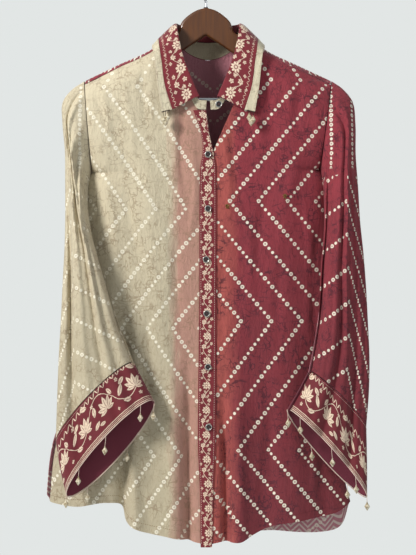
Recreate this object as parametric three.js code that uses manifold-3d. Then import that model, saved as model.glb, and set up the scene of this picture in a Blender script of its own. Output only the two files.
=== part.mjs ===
// A long printed tunic shirt hanging on a wooden hanger, in millimetres.
// X is to the viewer's right, Y away from the viewer, Z up. The origin is the inside top of the hanger's hook.
import * as THREE from "three";
import { mergeVertices } from "three/addons/utils/BufferGeometryUtils.js";
import Module from "manifold-3d";

const wasm = await Module();
wasm.setup();

// Cloth
const WALL = 1.5;
const SEAM_GAP = 0.6;
const SIDE_SEAM_HALF_GAP = 0.8;
const ARMHOLE_HALF_GAP = 0.9;
const NECK_GAP = 2.5;
const LAP_OUT = 2.4;
const SHIRT_X = 3.5;

// How the shoulders and sides round over
const SHOULDER_ROUND = 40;
const SHOULDER_ROUND_POWER = 2;
const SIDE_ROUND = 110;
const SIDE_ROUND_POWER = 2.2;
const SEAM_FORWARD = 7;

// Armholes: an upright oval between the shoulder point and the underarm
const ARMHOLE_HALF_DEPTH = 30;
const LEFT_ARMHOLE = { topX: -184, topZ: -174, lowX: -172, lowZ: -314 };
const RIGHT_ARMHOLE = { topX: 190, topZ: -174, lowX: 171, lowZ: -310 };

// Hanger
const HOOK_INSIDE_RADIUS = 20;
const HOOK_WIRE_RADIUS = 2;
const WOOD_THICKNESS = 14;
const WOOD_EDGE_ROUND = 4;
const BAR_RADIUS = 3;
const BAR_HALF_LENGTH = 150;
const BAR_Z = -201.5;
const BORE_CLEARANCE = 0.3;

// Height of the shoulder line over the width
const RIDGE = [
  { x: -215, z: -190 },
  { x: -184, z: -174 },
  { x: -132, z: -149 },
  { x: -81, z: -125 },
  { x: -52, z: -98 },
  { x: 3, z: -80 },
  { x: 59, z: -98 },
  { x: 89, z: -126 },
  { x: 134, z: -148 },
  { x: 190, z: -174 },
  { x: 220, z: -190 },
];

// Side seams from the underarm to the hem
const LEFT_SIDE = [
  { z: -314, x: -172 },
  { z: -386, x: -182 },
  { z: -446, x: -189 },
  { z: -551, x: -201 },
  { z: -656, x: -214 },
  { z: -746, x: -231 },
  { z: -812, x: -237 },
];
const RIGHT_SIDE = [
  { z: -310, x: 171 },
  { z: -371, x: 178 },
  { z: -431, x: 186 },
  { z: -551, x: 201 },
  { z: -656, x: 204 },
  { z: -752, x: 206 },
  { z: -790, x: 213 },
  { z: -812, x: 219 },
];

// How far the fronts and the back hang from the hanger's plane
const DEPTH = [
  { z: -80, front: 38, back: 33 },
  { z: -220, front: 38, back: 33 },
  { z: -320, front: 34, back: 28 },
  { z: -600, front: 30, back: 24 },
  { z: -880, front: 27, back: 22 },
];

// Neckline of each front, from the shoulder seam down
const LEFT_NECKLINE = [
  { x: -52, z: -105 },
  { x: -46, z: -132 },
  { x: -37, z: -165 },
  { x: -26, z: -195 },
  { x: -12, z: -222 },
];
const RIGHT_NECKLINE = [
  { x: 59, z: -105 },
  { x: 53, z: -132 },
  { x: 46, z: -165 },
  { x: 42, z: -190 },
  { x: 42, z: -212 },
];
const BACK_NECKLINE = [
  { x: -52, z: -91 },
  { x: -46, z: -104 },
  { x: -30, z: -125 },
  { x: 3, z: -137 },
  { x: 37, z: -125 },
  { x: 53, z: -104 },
  { x: 59, z: -91 },
];

// Both edges of the placket, from the collar stand down to the hem
const PLACKET = [
  { z: -222, left: -19, right: 0 },
  { z: -258, left: -7, right: 5 },
  { z: -285, left: -5, right: 11 },
  { z: -311, left: -9, right: 15 },
  { z: -506, left: -10, right: 15 },
  { z: -718, left: -12, right: 14 },
  { z: -794, left: -9, right: 11 },
  { z: -877, left: -8, right: 9 },
];
const TAN_UNDER_PLACKET = 7;
const MAROON_FREE_EDGE = [
  { z: -212, x: 42 },
  { z: -246, x: 27 },
  { z: -281, x: 12 },
  { z: -311, x: 4 },
  { z: -506, x: 2 },
  { z: -718, x: 0 },
  { z: -794, x: 3 },
  { z: -874, x: 2 },
];

// Hems, from the viewer's left to the right
const TAN_HEM = [
  { x: -237, z: -812 },
  { x: -194, z: -817 },
  { x: -150, z: -810 },
  { x: -128, z: -814 },
  { x: -119, z: -840 },
  { x: -99, z: -852 },
  { x: -49, z: -863 },
  { x: -1, z: -873 },
];
const MAROON_HEM = [
  { x: 2, z: -874 },
  { x: 21, z: -870 },
  { x: 52, z: -869 },
  { x: 72, z: -858 },
  { x: 101, z: -845 },
  { x: 150, z: -836 },
  { x: 198, z: -826 },
  { x: 219, z: -812 },
];
const BACK_HEM = [
  { x: -237, z: -812 },
  { x: -189, z: -812 },
  { x: -140, z: -808 },
  { x: -84, z: -836 },
  { x: -39, z: -854 },
  { x: 3, z: -862 },
  { x: 94, z: -861 },
  { x: 164, z: -862 },
  { x: 204, z: -853 },
  { x: 219, z: -812 },
];

// Long folds of the panels: a line from its top to its end, the half width, and how far out it stands (in if negative)
const FRONT_FOLDS = [
  { topX: -120, topZ: -480, endX: -122, endZ: -830, width: 12, out: -10 },
  { topX: -104, topZ: -500, endX: -106, endZ: -845, width: 13, out: 7 },
  { topX: -25, topZ: -600, endX: -25, endZ: -872, width: 9, out: -9 },
  { topX: -44, topZ: -600, endX: -46, endZ: -868, width: 12, out: 5 },
  { topX: -160, topZ: -190, endX: -150, endZ: -420, width: 14, out: 4 },
  { topX: -100, topZ: -180, endX: -70, endZ: -520, width: 16, out: 3 },
  { topX: 27, topZ: -600, endX: 33, endZ: -868, width: 9, out: -10 },
  { topX: 50, topZ: -600, endX: 56, endZ: -866, width: 12, out: 6 },
  { topX: 84, topZ: -560, endX: 90, endZ: -850, width: 16, out: -6 },
  { topX: 128, topZ: -480, endX: 136, endZ: -838, width: 18, out: 6 },
  { topX: 172, topZ: -560, endX: 180, endZ: -828, width: 14, out: -6 },
  { topX: 130, topZ: -200, endX: 110, endZ: -520, width: 18, out: 4 },
];
const BACK_FOLDS = [
  { topX: -150, topZ: -420, endX: -160, endZ: -805, width: 18, out: 7 },
  { topX: -90, topZ: -260, endX: -100, endZ: -830, width: 20, out: -6 },
  { topX: -30, topZ: -360, endX: -40, endZ: -850, width: 20, out: 7 },
  { topX: 40, topZ: -300, endX: 44, endZ: -858, width: 18, out: -6 },
  { topX: 96, topZ: -420, endX: 104, endZ: -856, width: 20, out: 7 },
  { topX: 160, topZ: -480, endX: 170, endZ: -850, width: 16, out: -6 },
];

// Sleeve rings from the armhole down to the cuff seam: outer point, inner point, half depth, and how far the front
// edge stands above the ring's middle
const TAN_RINGS = [
  { outX: -184, outY: 0, outZ: -174, inX: -172.5, inY: 0, inZ: -310.5, half: 30, lift: 0 },
  { outX: -204, outY: -3, outZ: -188, inX: -175.5, inY: -5, inZ: -320, half: 33, lift: 0 },
  { outX: -217, outY: -5, outZ: -207, inX: -177, inY: -10, inZ: -328, half: 34, lift: 0 },
  { outX: -217, outY: -7, outZ: -238, inX: -178.5, inY: -17, inZ: -339, half: 33, lift: 0 },
  { outX: -213, outY: -11, outZ: -280, inX: -178.5, inY: -26, inZ: -355, half: 31, lift: 0 },
  { outX: -212, outY: -17, outZ: -325, inX: -176, inY: -37, inZ: -378, half: 29, lift: 0 },
  { outX: -211, outY: -26, outZ: -373, inX: -170, inY: -48, inZ: -408, half: 27, lift: 1 },
  { outX: -211, outY: -37, outZ: -426, inX: -160, inY: -56, inZ: -442, half: 25, lift: 2 },
  { outX: -213, outY: -46, outZ: -480, inX: -149, inY: -60, inZ: -478, half: 23, lift: 5 },
  { outX: -215, outY: -52, outZ: -535, inX: -139, inY: -62, inZ: -512, half: 21, lift: 9 },
  { outX: -218, outY: -55, outZ: -592, inX: -129, inY: -63, inZ: -545, half: 19, lift: 13 },
  { outX: -220, outY: -57, outZ: -650, inX: -118, inY: -63, inZ: -572, half: 17, lift: 17 },
  { outX: -222, outY: -58, outZ: -713, inX: -107, inY: -63, inZ: -600, half: 16, lift: 20 },
];
const TAN_CUFF_RINGS = [
  { outX: -222, outY: -58, outZ: -714.4, inX: -106, inY: -63, inZ: -601.4, half: 16, lift: 20 },
  { outX: -216, outY: -59, outZ: -752, inX: -92, inY: -63, inZ: -629, half: 16, lift: 24 },
  { outX: -207, outY: -60, outZ: -791, inX: -77, inY: -63, inZ: -657, half: 17, lift: 27 },
];
const MAROON_RINGS = [
  { outX: 190, outY: 0, outZ: -174, inX: 171.5, inY: 0, inZ: -306.5, half: 30, lift: 0 },
  { outX: 207, outY: -3, outZ: -186, inX: 174.5, inY: -5, inZ: -316, half: 33, lift: 0 },
  { outX: 222, outY: -5, outZ: -206, inX: 176, inY: -10, inZ: -325, half: 34, lift: 0 },
  { outX: 226, outY: -7, outZ: -240, inX: 177.5, inY: -17, inZ: -338, half: 33, lift: 0 },
  { outX: 226, outY: -11, outZ: -286, inX: 177.5, inY: -26, inZ: -356, half: 31, lift: 0 },
  { outX: 229, outY: -17, outZ: -336, inX: 177, inY: -37, inZ: -384, half: 29, lift: 0 },
  { outX: 231, outY: -26, outZ: -386, inX: 175, inY: -48, inZ: -416, half: 27, lift: 1 },
  { outX: 235, outY: -37, outZ: -436, inX: 171, inY: -56, inZ: -450, half: 25, lift: 2 },
  { outX: 238, outY: -46, outZ: -487, inX: 169, inY: -60, inZ: -486, half: 23, lift: 3 },
  { outX: 240, outY: -52, outZ: -538, inX: 167, inY: -62, inZ: -521, half: 21, lift: 5 },
  { outX: 242, outY: -55, outZ: -590, inX: 163, inY: -63, inZ: -554, half: 19, lift: 8 },
  { outX: 241, outY: -57, outZ: -641, inX: 158, inY: -63, inZ: -583, half: 17, lift: 10 },
  { outX: 237, outY: -58, outZ: -692, inX: 152, inY: -63, inZ: -612, half: 16, lift: 12 },
];
const MAROON_CUFF_RINGS = [
  { outX: 237, outY: -58, outZ: -693.4, inX: 151, inY: -63, inZ: -613.4, half: 16, lift: 12 },
  { outX: 238, outY: -59, outZ: -744, inX: 137, inY: -63, inZ: -640, half: 16, lift: 14 },
  { outX: 238, outY: -60, outZ: -794, inX: 121, inY: -63, inZ: -668, half: 17, lift: 16 },
];

// Long folds of the sleeves: ring and turn (degrees from the outer point round the front) at both ends
const TAN_SLEEVE_FOLDS = [
  { topRing: 4, topTurn: 38, endRing: 12, endTurn: 66, spread: 14, out: -7 },
  { topRing: 4, topTurn: 66, endRing: 12, endTurn: 96, spread: 18, out: 3 },
  { topRing: 1, topTurn: 142, endRing: 7, endTurn: 166, spread: 20, out: -8 },
];
const MAROON_SLEEVE_FOLDS = [
  { topRing: 1, topTurn: 112, endRing: 9, endTurn: 158, spread: 20, out: -10 },
  { topRing: 2, topTurn: 66, endRing: 10, endTurn: 112, spread: 18, out: 3 },
  { topRing: 8, topTurn: 70, endRing: 12, endTurn: 60, spread: 14, out: -5 },
];

// Collar stations of the viewer's left half, from the front end round to the middle of the back
const COLLAR = [
  { neckX: -13, neckZ: -220, topX: -11, topY: -42, topZ: -206, rollX: -10, rollY: -46, rollZ: -202, edgeX: -50, edgeY: -48,
    edgeZ: -222, bandX: -66, bandY: -49, bandZ: -225 },
  { neckX: -26, neckZ: -195, topX: -24, topY: -42, topZ: -179, rollX: -23, rollY: -46, rollZ: -172, edgeX: -61, edgeY: -48,
    edgeZ: -186, bandX: -72, bandY: -49, bandZ: -188 },
  { neckX: -37, neckZ: -165, topX: -34, topY: -39, topZ: -152, rollX: -33, rollY: -43, rollZ: -146, edgeX: -66, edgeY: -45,
    edgeZ: -150, bandX: -76, bandY: -46, bandZ: -151 },
  { neckX: -46, neckZ: -132, topX: -41, topY: -33, topZ: -124, rollX: -40, rollY: -38, rollZ: -118, edgeX: -69, edgeY: -41,
    edgeZ: -130, bandX: -78, bandY: -42, bandZ: -136 },
  { neckX: -52, neckZ: -105, topX: -46, topY: -18, topZ: -100, rollX: -44, rollY: -20, rollZ: -93, edgeX: -71, edgeY: -24,
    edgeZ: -115, bandX: -81, bandY: -25, bandZ: -127 },
  { neckX: -50, neckZ: -96, topX: -46, topY: 0, topZ: -91, rollX: -45, rollY: 0, rollZ: -86, edgeX: -71, edgeY: 0,
    edgeZ: -109, bandX: -80, bandY: 1, bandZ: -119 },
  { neckX: -46, neckZ: -104, topX: -42, topY: 16, topZ: -95, rollX: -40, rollY: 18, rollZ: -85, edgeX: -62, edgeY: 26,
    edgeZ: -114, bandX: -68, bandY: 28, bandZ: -124 },
  { neckX: -30, neckZ: -125, topX: -28, topY: 30, topZ: -106, rollX: -26, rollY: 32, rollZ: -84, edgeX: -38, edgeY: 40,
    edgeZ: -130, bandX: -41, bandY: 41, bandZ: -140 },
  { neckX: 3.5, neckZ: -137, topX: 3.5, topY: 34, topZ: -110, rollX: 3.5, rollY: 36, rollZ: -83, edgeX: 3.5, edgeY: 44,
    edgeZ: -135, bandX: 3.5, bandY: 45, bandZ: -145 },
];
const BACK_STATIONS_FROM = 5;
const STAND_TIP = { neckX: 0, neckZ: -222, topX: 1, topY: -42, topZ: -208 };
const FOLD_HALF_GAP = 1.6;
const FOLD_RUN = 4;

// Hanger outline of the viewer's left half: its bare top, the stations where it carries the shoulder, and its underside
const WOOD_TOP = [
  { x: 0, z: -62 },
  { x: -16, z: -67 },
  { x: -36, z: -83 },
  { x: -43.8, z: -100.8 },
];
const WOOD_SHOULDER_X = [-58, -69, -81, -106, -132, -152, -172];
const WOOD_BELOW_RIDGE = 3.4;
const WOOD_UNDERSIDE = [
  { x: -180, z: -179 },
  { x: -178, z: -193 },
  { x: -166, z: -208 },
  { x: -150, z: -212 },
  { x: -132, z: -204 },
  { x: -90, z: -168 },
  { x: -39, z: -130 },
  { x: 0, z: -104 },
];

// Buttons down the placket, and the one on the stand's free end
const BUTTON_RADIUS = 5;
const BUTTON_THICKNESS = 2.4;
const BUTTON_RIM = 1;
const BUTTON_DISH = 0.9;
const BUTTONS = [
  { name: "button_1", x: 3, z: -288 },
  { name: "button_2", x: 3, z: -369 },
  { name: "button_3", x: 0, z: -445 },
  { name: "button_4", x: 1, z: -526 },
  { name: "button_5", x: 3, z: -606 },
  { name: "button_6", x: 4, z: -696 },
];
const STAND_BUTTON = { name: "button_stand", x: 19, z: -213.5, y: -42.5 };

// Drop beads: place round the cuff's edge (degrees from the outer point round the front) and thread length
const BEAD_RADIUS = 4.6;
const BEAD_HEIGHT = 13;
const THREAD_RADIUS = 0.6;
const STRIP_HEIGHT = 2;
const STRIP_WALL = 1.4;
const STRIP_GAP = 2.1;
const CUFF_BEADS = [
  { turn: 4, thread: 7 },
  { turn: 46, thread: 10 },
  { turn: 88, thread: 13 },
  { turn: 136, thread: 10 },
  { turn: 188, thread: 7 },
  { turn: 250, thread: 7 },
  { turn: 304, thread: 7 },
];
const TIP_BEADS = [
  { along: 0.2, thread: 3 },
  { along: 0.5, thread: 9 },
  { along: 0.8, thread: 5 },
];

const COLOURS = {
  tan: [0xc4b08f, 0.85, 0],
  maroon: [0x8c2f3c, 0.8, 0],
  trim: [0x8e2a33, 0.8, 0],
  wood: [0x6a4226, 0.4, 0],
  steel: [0xc8cbd0, 0.25, 1],
  button: [0x2a2523, 0.35, 0.2],
  bead: [0xcfc9b4, 0.4, 0.1],
};

const vec = (x, y, z) => new THREE.Vector3(x, y, z);

// A smooth value read from a table of rows, by one column to another.
function readTable(rows, from, to, at) {
  const sign = Math.sign(rows[rows.length - 1][from] - rows[0][from]);
  let i = 0;
  while (i < rows.length - 2 && sign * (at - rows[i + 1][from]) > 0) i += 1;
  const [a, b] = [rows[i], rows[i + 1]];
  const before = rows[Math.max(i - 1, 0)];
  const after = rows[Math.min(i + 2, rows.length - 1)];
  const run = b[from] - a[from];
  const t = THREE.MathUtils.clamp((at - a[from]) / run, 0, 1);
  const slopeA = ((b[to] - before[to]) / (b[from] - before[from])) * run;
  const slopeB = ((after[to] - a[to]) / (after[from] - a[from])) * run;
  const rise = t * t * (3 - 2 * t);
  return a[to] * (1 - rise) + b[to] * rise + slopeA * t * (1 - t) ** 2 - slopeB * t * t * (1 - t);
}

// Rises from 0 to 1 over a run of 1 as a rounded shoulder does.
function roundOver(run, power) {
  const left = 1 - THREE.MathUtils.clamp(run, 0, 1);
  return (1 - left ** power) ** (1 / power);
}

const ridgeZ = (x) => readTable(RIDGE, "x", "z", x);

function armholeX(armhole, z) {
  return THREE.MathUtils.mapLinear(z, armhole.topZ, armhole.lowZ, armhole.topX, armhole.lowX);
}

function sideX(armhole, side, z) {
  if (z > armhole.lowZ) return armholeX(armhole, z);
  return readTable(side, "z", "x", z);
}

// Half the distance between front and back at the panel's edge: the armhole's oval, and nothing along a side seam.
function edgeDepth(armhole, z) {
  const middle = (armhole.topZ + armhole.lowZ) / 2;
  const share = (z - middle) / (armhole.topZ - middle);
  const oval = ARMHOLE_HALF_DEPTH * Math.sqrt(Math.max(0, 1 - share * share));
  return Math.max(oval, SIDE_SEAM_HALF_GAP);
}

// How far a fold table pushes the cloth out at a place on the panel.
function foldOut(folds, x, z) {
  let out = 0;
  for (const fold of folds) {
    const share = (z - fold.topZ) / (fold.endZ - fold.topZ);
    if (share <= 0) continue;
    const line = fold.topX + (fold.endX - fold.topX) * Math.min(share, 1.1);
    const grow = THREE.MathUtils.smoothstep(share, 0, 0.6);
    out += fold.out * grow * Math.exp(-(((x - line) / fold.width) ** 2));
  }
  return out;
}

// A place on the shirt's body. Above the shoulder line the cloth of the back turns over to the front.
function bodyPoint(x, height, isFront) {
  const ridge = ridgeZ(x);
  const turnedOver = !isFront && height > ridge;
  const z = turnedOver ? 2 * ridge - height : height;
  const front = isFront || turnedOver;
  const depth = readTable(DEPTH, "z", front ? "front" : "back", z);
  const full = depth * roundOver((ridge - z) / SHOULDER_ROUND, SHOULDER_ROUND_POWER);
  const fromLeft = x - sideX(LEFT_ARMHOLE, LEFT_SIDE, z);
  const fromRight = sideX(RIGHT_ARMHOLE, RIGHT_SIDE, z) - x;
  const armhole = fromLeft < fromRight ? LEFT_ARMHOLE : RIGHT_ARMHOLE;
  const inFromSide = Math.min(fromLeft, fromRight);
  const edge = edgeDepth(armhole, z);
  const share = roundOver(inFromSide / SIDE_ROUND, SIDE_ROUND_POWER);
  const folds = foldOut(front ? FRONT_FOLDS : BACK_FOLDS, x, z);
  const out = edge + (full + folds - edge) * share;
  return vec(x, front ? -out : out, z);
}

// A curve through a table's x and z, as a function of the share along it.
function edgeCurve(rows) {
  const curve = new THREE.CatmullRomCurve3(rows.map((row) => vec(row.x, 0, row.z)), false, "centripetal");
  return (share) => curve.getPointAt(THREE.MathUtils.clamp(share, 0, 1));
}

// Joins curves end to end, each with its share of the whole.
function spliced(parts) {
  return (share) => {
    let start = 0;
    for (const [length, curve] of parts.slice(0, -1)) {
      if (share < start + length) return curve((share - start) / length);
      start += length;
    }
    const [, last] = parts[parts.length - 1];
    return last((share - start) / (1 - start));
  };
}

// A grid of places between four edges that share their corners (Coons patch).
function patch(top, bottom, left, right, columnShares, rowShares) {
  const rows = [];
  for (const v of rowShares) {
    const row = [];
    for (const u of columnShares) {
      const place = vec(0, 0, 0);
      place.addScaledVector(top(u), 1 - v).addScaledVector(bottom(u), v);
      place.addScaledVector(left(v), 1 - u).addScaledVector(right(v), u);
      place.addScaledVector(top(0), -(1 - u) * (1 - v)).addScaledVector(top(1), -u * (1 - v));
      place.addScaledVector(bottom(0), -(1 - u) * v).addScaledVector(bottom(1), -u * v);
      row.push(place);
    }
    rows.push(row);
  }
  return rows;
}

// A wall of even thickness over a grid of points. A closed grid joins its last column to its first.
function wallOver(grid, thickness, closed) {
  const rows = grid.length;
  const columns = grid[0].length;
  const at = (i, j) => grid[i][closed ? (j + columns) % columns : THREE.MathUtils.clamp(j, 0, columns - 1)];
  const positions = [];
  const normals = grid.map((row, i) =>
    row.map((_, j) => {
      const down = at(Math.min(i + 1, rows - 1), j).clone().sub(at(Math.max(i - 1, 0), j));
      const over = at(i, j + 1).clone().sub(at(i, j - 1));
      return over.cross(down).normalize();
    }),
  );
  for (const side of [0.5, -0.5]) {
    grid.forEach((row, i) =>
      row.forEach((point, j) => {
        positions.push(...point.clone().addScaledVector(normals[i][j], side * thickness));
      }),
    );
  }
  const inner = rows * columns;
  const index = (i, j) => i * columns + (closed ? j % columns : j);
  const faces = [];
  const quad = (a, b, c, d) => faces.push(a, b, c, a, c, d);
  const spans = closed ? columns : columns - 1;
  for (let i = 0; i < rows - 1; i += 1) {
    for (let j = 0; j < spans; j += 1) {
      const corners = [index(i, j), index(i + 1, j), index(i + 1, j + 1), index(i, j + 1)];
      quad(...corners);
      quad(...corners.map((corner) => corner + inner).reverse());
    }
  }
  for (let j = 0; j < spans; j += 1) {
    quad(index(0, j), index(0, j + 1), index(0, j + 1) + inner, index(0, j) + inner);
    const [a, b] = [index(rows - 1, j), index(rows - 1, j + 1)];
    quad(b, a, a + inner, b + inner);
  }
  for (let i = 0; !closed && i < rows - 1; i += 1) {
    quad(index(i + 1, 0), index(i, 0), index(i, 0) + inner, index(i + 1, 0) + inner);
    const [a, b] = [index(i, columns - 1), index(i + 1, columns - 1)];
    quad(b, b + inner, a + inner, a);
  }
  const geometry = new THREE.BufferGeometry();
  geometry.setAttribute("position", new THREE.Float32BufferAttribute(positions, 3));
  geometry.setIndex(faces);
  return facingOut(geometry);
}

// Turns a closed geometry's faces round if they point in.
function facingOut(geometry) {
  const place = geometry.getAttribute("position");
  const index = geometry.getIndex();
  const corner = (i) => vec(0, 0, 0).fromBufferAttribute(place, index.getX(i));
  let volume = 0;
  for (let i = 0; i < index.count; i += 3) volume += corner(i).dot(corner(i + 1).cross(corner(i + 2)));
  if (volume < 0) {
    for (let i = 0; i < index.count; i += 3) {
      const first = index.getX(i);
      index.setX(i, index.getX(i + 1));
      index.setX(i + 1, first);
    }
  }
  geometry.computeVertexNormals();
  return geometry;
}

// Closed geometry to solid and back, for joins and cuts.
function solidOf(geometry) {
  const bare = geometry.clone();
  bare.deleteAttribute("normal");
  bare.deleteAttribute("uv");
  const merged = mergeVertices(bare, 1e-3);
  return new wasm.Manifold(
    new wasm.Mesh({
      numProp: 3,
      vertProperties: merged.getAttribute("position").array,
      triVerts: new Uint32Array(merged.getIndex().array),
    }),
  );
}

function geometryOf(solid) {
  const mesh = solid.getMesh();
  const geometry = new THREE.BufferGeometry();
  geometry.setAttribute("position", new THREE.BufferAttribute(new Float32Array(mesh.vertProperties), 3));
  geometry.setIndex(new THREE.BufferAttribute(new Uint32Array(mesh.triVerts), 1));
  geometry.computeVertexNormals();
  return geometry;
}

const joined = (geometries) => geometryOf(geometries.map(solidOf).reduce((all, solid) => all.add(solid)));

// Armhole edge of a panel, set back a little from the sleeve.
function armholeEdge(armhole, fromHeight) {
  const inward = -Math.sign(armhole.topX) * ARMHOLE_HALF_GAP;
  return (share) => {
    const height = fromHeight + (armhole.lowZ - fromHeight) * share;
    const ridge = ridgeZ(armhole.topX);
    const z = height > ridge ? 2 * ridge - height : height;
    return vec(armholeX(armhole, z) + inward, 0, height);
  };
}

function sideEdge(side, hemZ) {
  const [first] = side;
  return (share) => {
    const z = first.z + (hemZ - first.z) * share;
    return vec(readTable(side, "z", "x", z), 0, z);
  };
}

// A shoulder seam from the shoulder point to the neck, at a height above or below the shoulder line.
function shoulderEdge(fromX, toX, above) {
  return (share) => {
    const x = fromX + (toX - fromX) * share;
    return vec(x, 0, ridgeZ(x) + above);
  };
}

function tableEdge(rows, column) {
  const [first] = rows;
  const last = rows[rows.length - 1];
  return (share) => {
    const z = first.z + (last.z - first.z) * share;
    return vec(readTable(rows, "z", column, z), 0, z);
  };
}

// Rows of a panel stand closer together at the shoulder, where it turns over.
const crowded = (step, crowding) => step * (1 - crowding + crowding * step ** 0.8);

const evenShares = (count) => Array.from({ length: count + 1 }, (_, i) => i / count);
const FRONT_ACROSS = 13;
const FRONT_DOWN = 26;
const FRONT_CROWDING = 0.7;
const FRONT_ROWS = evenShares(FRONT_DOWN).map((share) => crowded(share, FRONT_CROWDING));
const [ARMHOLE_SHARE] = FRONT_ROWS.slice(9);

// The front panels run from the shoulder seam and neckline to the hem.
function frontTan() {
  const seam = -SEAM_FORWARD - SEAM_GAP / 2;
  const shoulder = shoulderEdge(LEFT_ARMHOLE.topX, LEFT_NECKLINE[0].x, seam);
  const left = spliced([
    [ARMHOLE_SHARE, armholeEdge(LEFT_ARMHOLE, ridgeZ(LEFT_ARMHOLE.topX) + seam)],
    [1 - ARMHOLE_SHARE, sideEdge(LEFT_SIDE, TAN_HEM[0].z)],
  ]);
  const freeEdge = PLACKET.map((row) => ({ z: row.z, x: row.left + TAN_UNDER_PLACKET }));
  freeEdge[freeEdge.length - 1].z = TAN_HEM[TAN_HEM.length - 1].z;
  const right = spliced([
    [ARMHOLE_SHARE, edgeCurve(LEFT_NECKLINE)],
    [1 - ARMHOLE_SHARE, tableEdge(freeEdge, "x")],
  ]);
  const places = patch(shoulder, edgeCurve(TAN_HEM), left, right, evenShares(FRONT_ACROSS), FRONT_ROWS);
  return wallOver(places.map((row) => row.map((p) => bodyPoint(p.x, p.z, true))), WALL, false);
}

function frontMaroon() {
  const seam = -SEAM_FORWARD - SEAM_GAP / 2;
  const shoulder = shoulderEdge(RIGHT_NECKLINE[0].x, RIGHT_ARMHOLE.topX, seam);
  const right = spliced([
    [ARMHOLE_SHARE, armholeEdge(RIGHT_ARMHOLE, ridgeZ(RIGHT_ARMHOLE.topX) + seam)],
    [1 - ARMHOLE_SHARE, sideEdge(RIGHT_SIDE, MAROON_HEM[MAROON_HEM.length - 1].z)],
  ]);
  const left = spliced([
    [ARMHOLE_SHARE, edgeCurve(RIGHT_NECKLINE)],
    [1 - ARMHOLE_SHARE, tableEdge(MAROON_FREE_EDGE, "x")],
  ]);
  const places = patch(shoulder, edgeCurve(MAROON_HEM), left, right, evenShares(FRONT_ACROSS), FRONT_ROWS);
  return wallOver(places.map((row) => row.map((p) => bodyPoint(p.x, p.z, true))), WALL, false);
}

const BACK_DOWN = 21;
const BACK_SHOULDER_SHARE = 0.3;
const BACK_SHOULDER_COLUMNS = 5;
const BACK_NECK_COLUMNS = [0.05, 0.1, 0.18, 0.32, 0.5, 0.68, 0.82, 0.9, 0.95];
const BACK_CROWDING = 0.9;
const LIP_ROWS = [0, 0.55, 0.9];
const LIP_SHARE = 0.0105;
const BACK_ROWS = [
  ...LIP_ROWS.map((share) => share * LIP_SHARE),
  ...evenShares(BACK_DOWN).map((share) => LIP_SHARE + (1 - LIP_SHARE) * crowded(share, BACK_CROWDING)),
];
const [BACK_ARMHOLE_SHARE] = BACK_ROWS.slice(LIP_ROWS.length + 9);
const backColumns = () => {
  const shoulder = evenShares(BACK_SHOULDER_COLUMNS).map((share) => share * BACK_SHOULDER_SHARE);
  const neck = BACK_NECK_COLUMNS.map((share) => BACK_SHOULDER_SHARE + share * (1 - 2 * BACK_SHOULDER_SHARE));
  return [...shoulder, ...neck, ...shoulder.map((share) => 1 - share).reverse()];
};

// The back goes over the shoulder line to the front, down to the shoulder seams.
function back() {
  const seam = SEAM_FORWARD - SEAM_GAP / 2;
  const top = spliced([
    [BACK_SHOULDER_SHARE, shoulderEdge(LEFT_ARMHOLE.topX, BACK_NECKLINE[0].x, seam)],
    [1 - 2 * BACK_SHOULDER_SHARE, edgeCurve(BACK_NECKLINE)],
    [BACK_SHOULDER_SHARE, shoulderEdge(BACK_NECKLINE[BACK_NECKLINE.length - 1].x, RIGHT_ARMHOLE.topX, seam)],
  ]);
  const left = spliced([
    [BACK_ARMHOLE_SHARE, armholeEdge(LEFT_ARMHOLE, ridgeZ(LEFT_ARMHOLE.topX) + seam)],
    [1 - BACK_ARMHOLE_SHARE, sideEdge(LEFT_SIDE, BACK_HEM[0].z)],
  ]);
  const right = spliced([
    [BACK_ARMHOLE_SHARE, armholeEdge(RIGHT_ARMHOLE, ridgeZ(RIGHT_ARMHOLE.topX) + seam)],
    [1 - BACK_ARMHOLE_SHARE, sideEdge(RIGHT_SIDE, BACK_HEM[BACK_HEM.length - 1].z)],
  ]);
  const places = patch(top, edgeCurve(BACK_HEM), left, right, backColumns(), BACK_ROWS);
  return wallOver(places.map((row) => row.map((p) => bodyPoint(p.x, p.z, false))), WALL, false);
}

// The placket lies on both fronts, made from their points moved out.
function placket() {
  const rows = 30;
  const columns = 3;
  const [first] = PLACKET;
  const last = PLACKET[PLACKET.length - 1];
  const grid = [];
  for (let i = 0; i <= rows; i += 1) {
    const z = THREE.MathUtils.lerp(first.z, last.z, i / rows);
    const left = readTable(PLACKET, "z", "left", z);
    const right = readTable(PLACKET, "z", "right", z);
    const row = [];
    for (let j = 0; j <= columns; j += 1) {
      const point = bodyPoint(THREE.MathUtils.lerp(left, right, j / columns), z, true);
      point.y -= LAP_OUT;
      row.push(point);
    }
    grid.push(row);
  }
  return wallOver(grid, WALL, false);
}

// The rings of a sleeve or cuff as smooth functions of the share along it.
function ringCurves(rings) {
  const through = (x, y, z) =>
    new THREE.CatmullRomCurve3(rings.map((ring) => vec(ring[x], ring[y], ring[z])), false, "centripetal");
  const outer = through("outX", "outY", "outZ");
  const inner = through("inX", "inY", "inZ");
  const steps = rings.map((ring, i) => ({ ...ring, step: i / (rings.length - 1) }));
  return (share) => ({
    out: outer.getPoint(share),
    in: inner.getPoint(share),
    half: readTable(steps, "step", "half", share),
    lift: readTable(steps, "step", "lift", share),
  });
}

function sleeveFoldOut(folds, ringNumber, turn) {
  let out = 0;
  for (const fold of folds) {
    const share = (ringNumber - fold.topRing) / (fold.endRing - fold.topRing);
    if (share <= 0) continue;
    const line = fold.topTurn + (fold.endTurn - fold.topTurn) * Math.min(share, 1.2);
    const grow = THREE.MathUtils.smoothstep(share, 0, 0.4);
    out += fold.out * grow * Math.exp(-(((turn - line) / fold.spread) ** 2));
  }
  return out;
}

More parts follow.
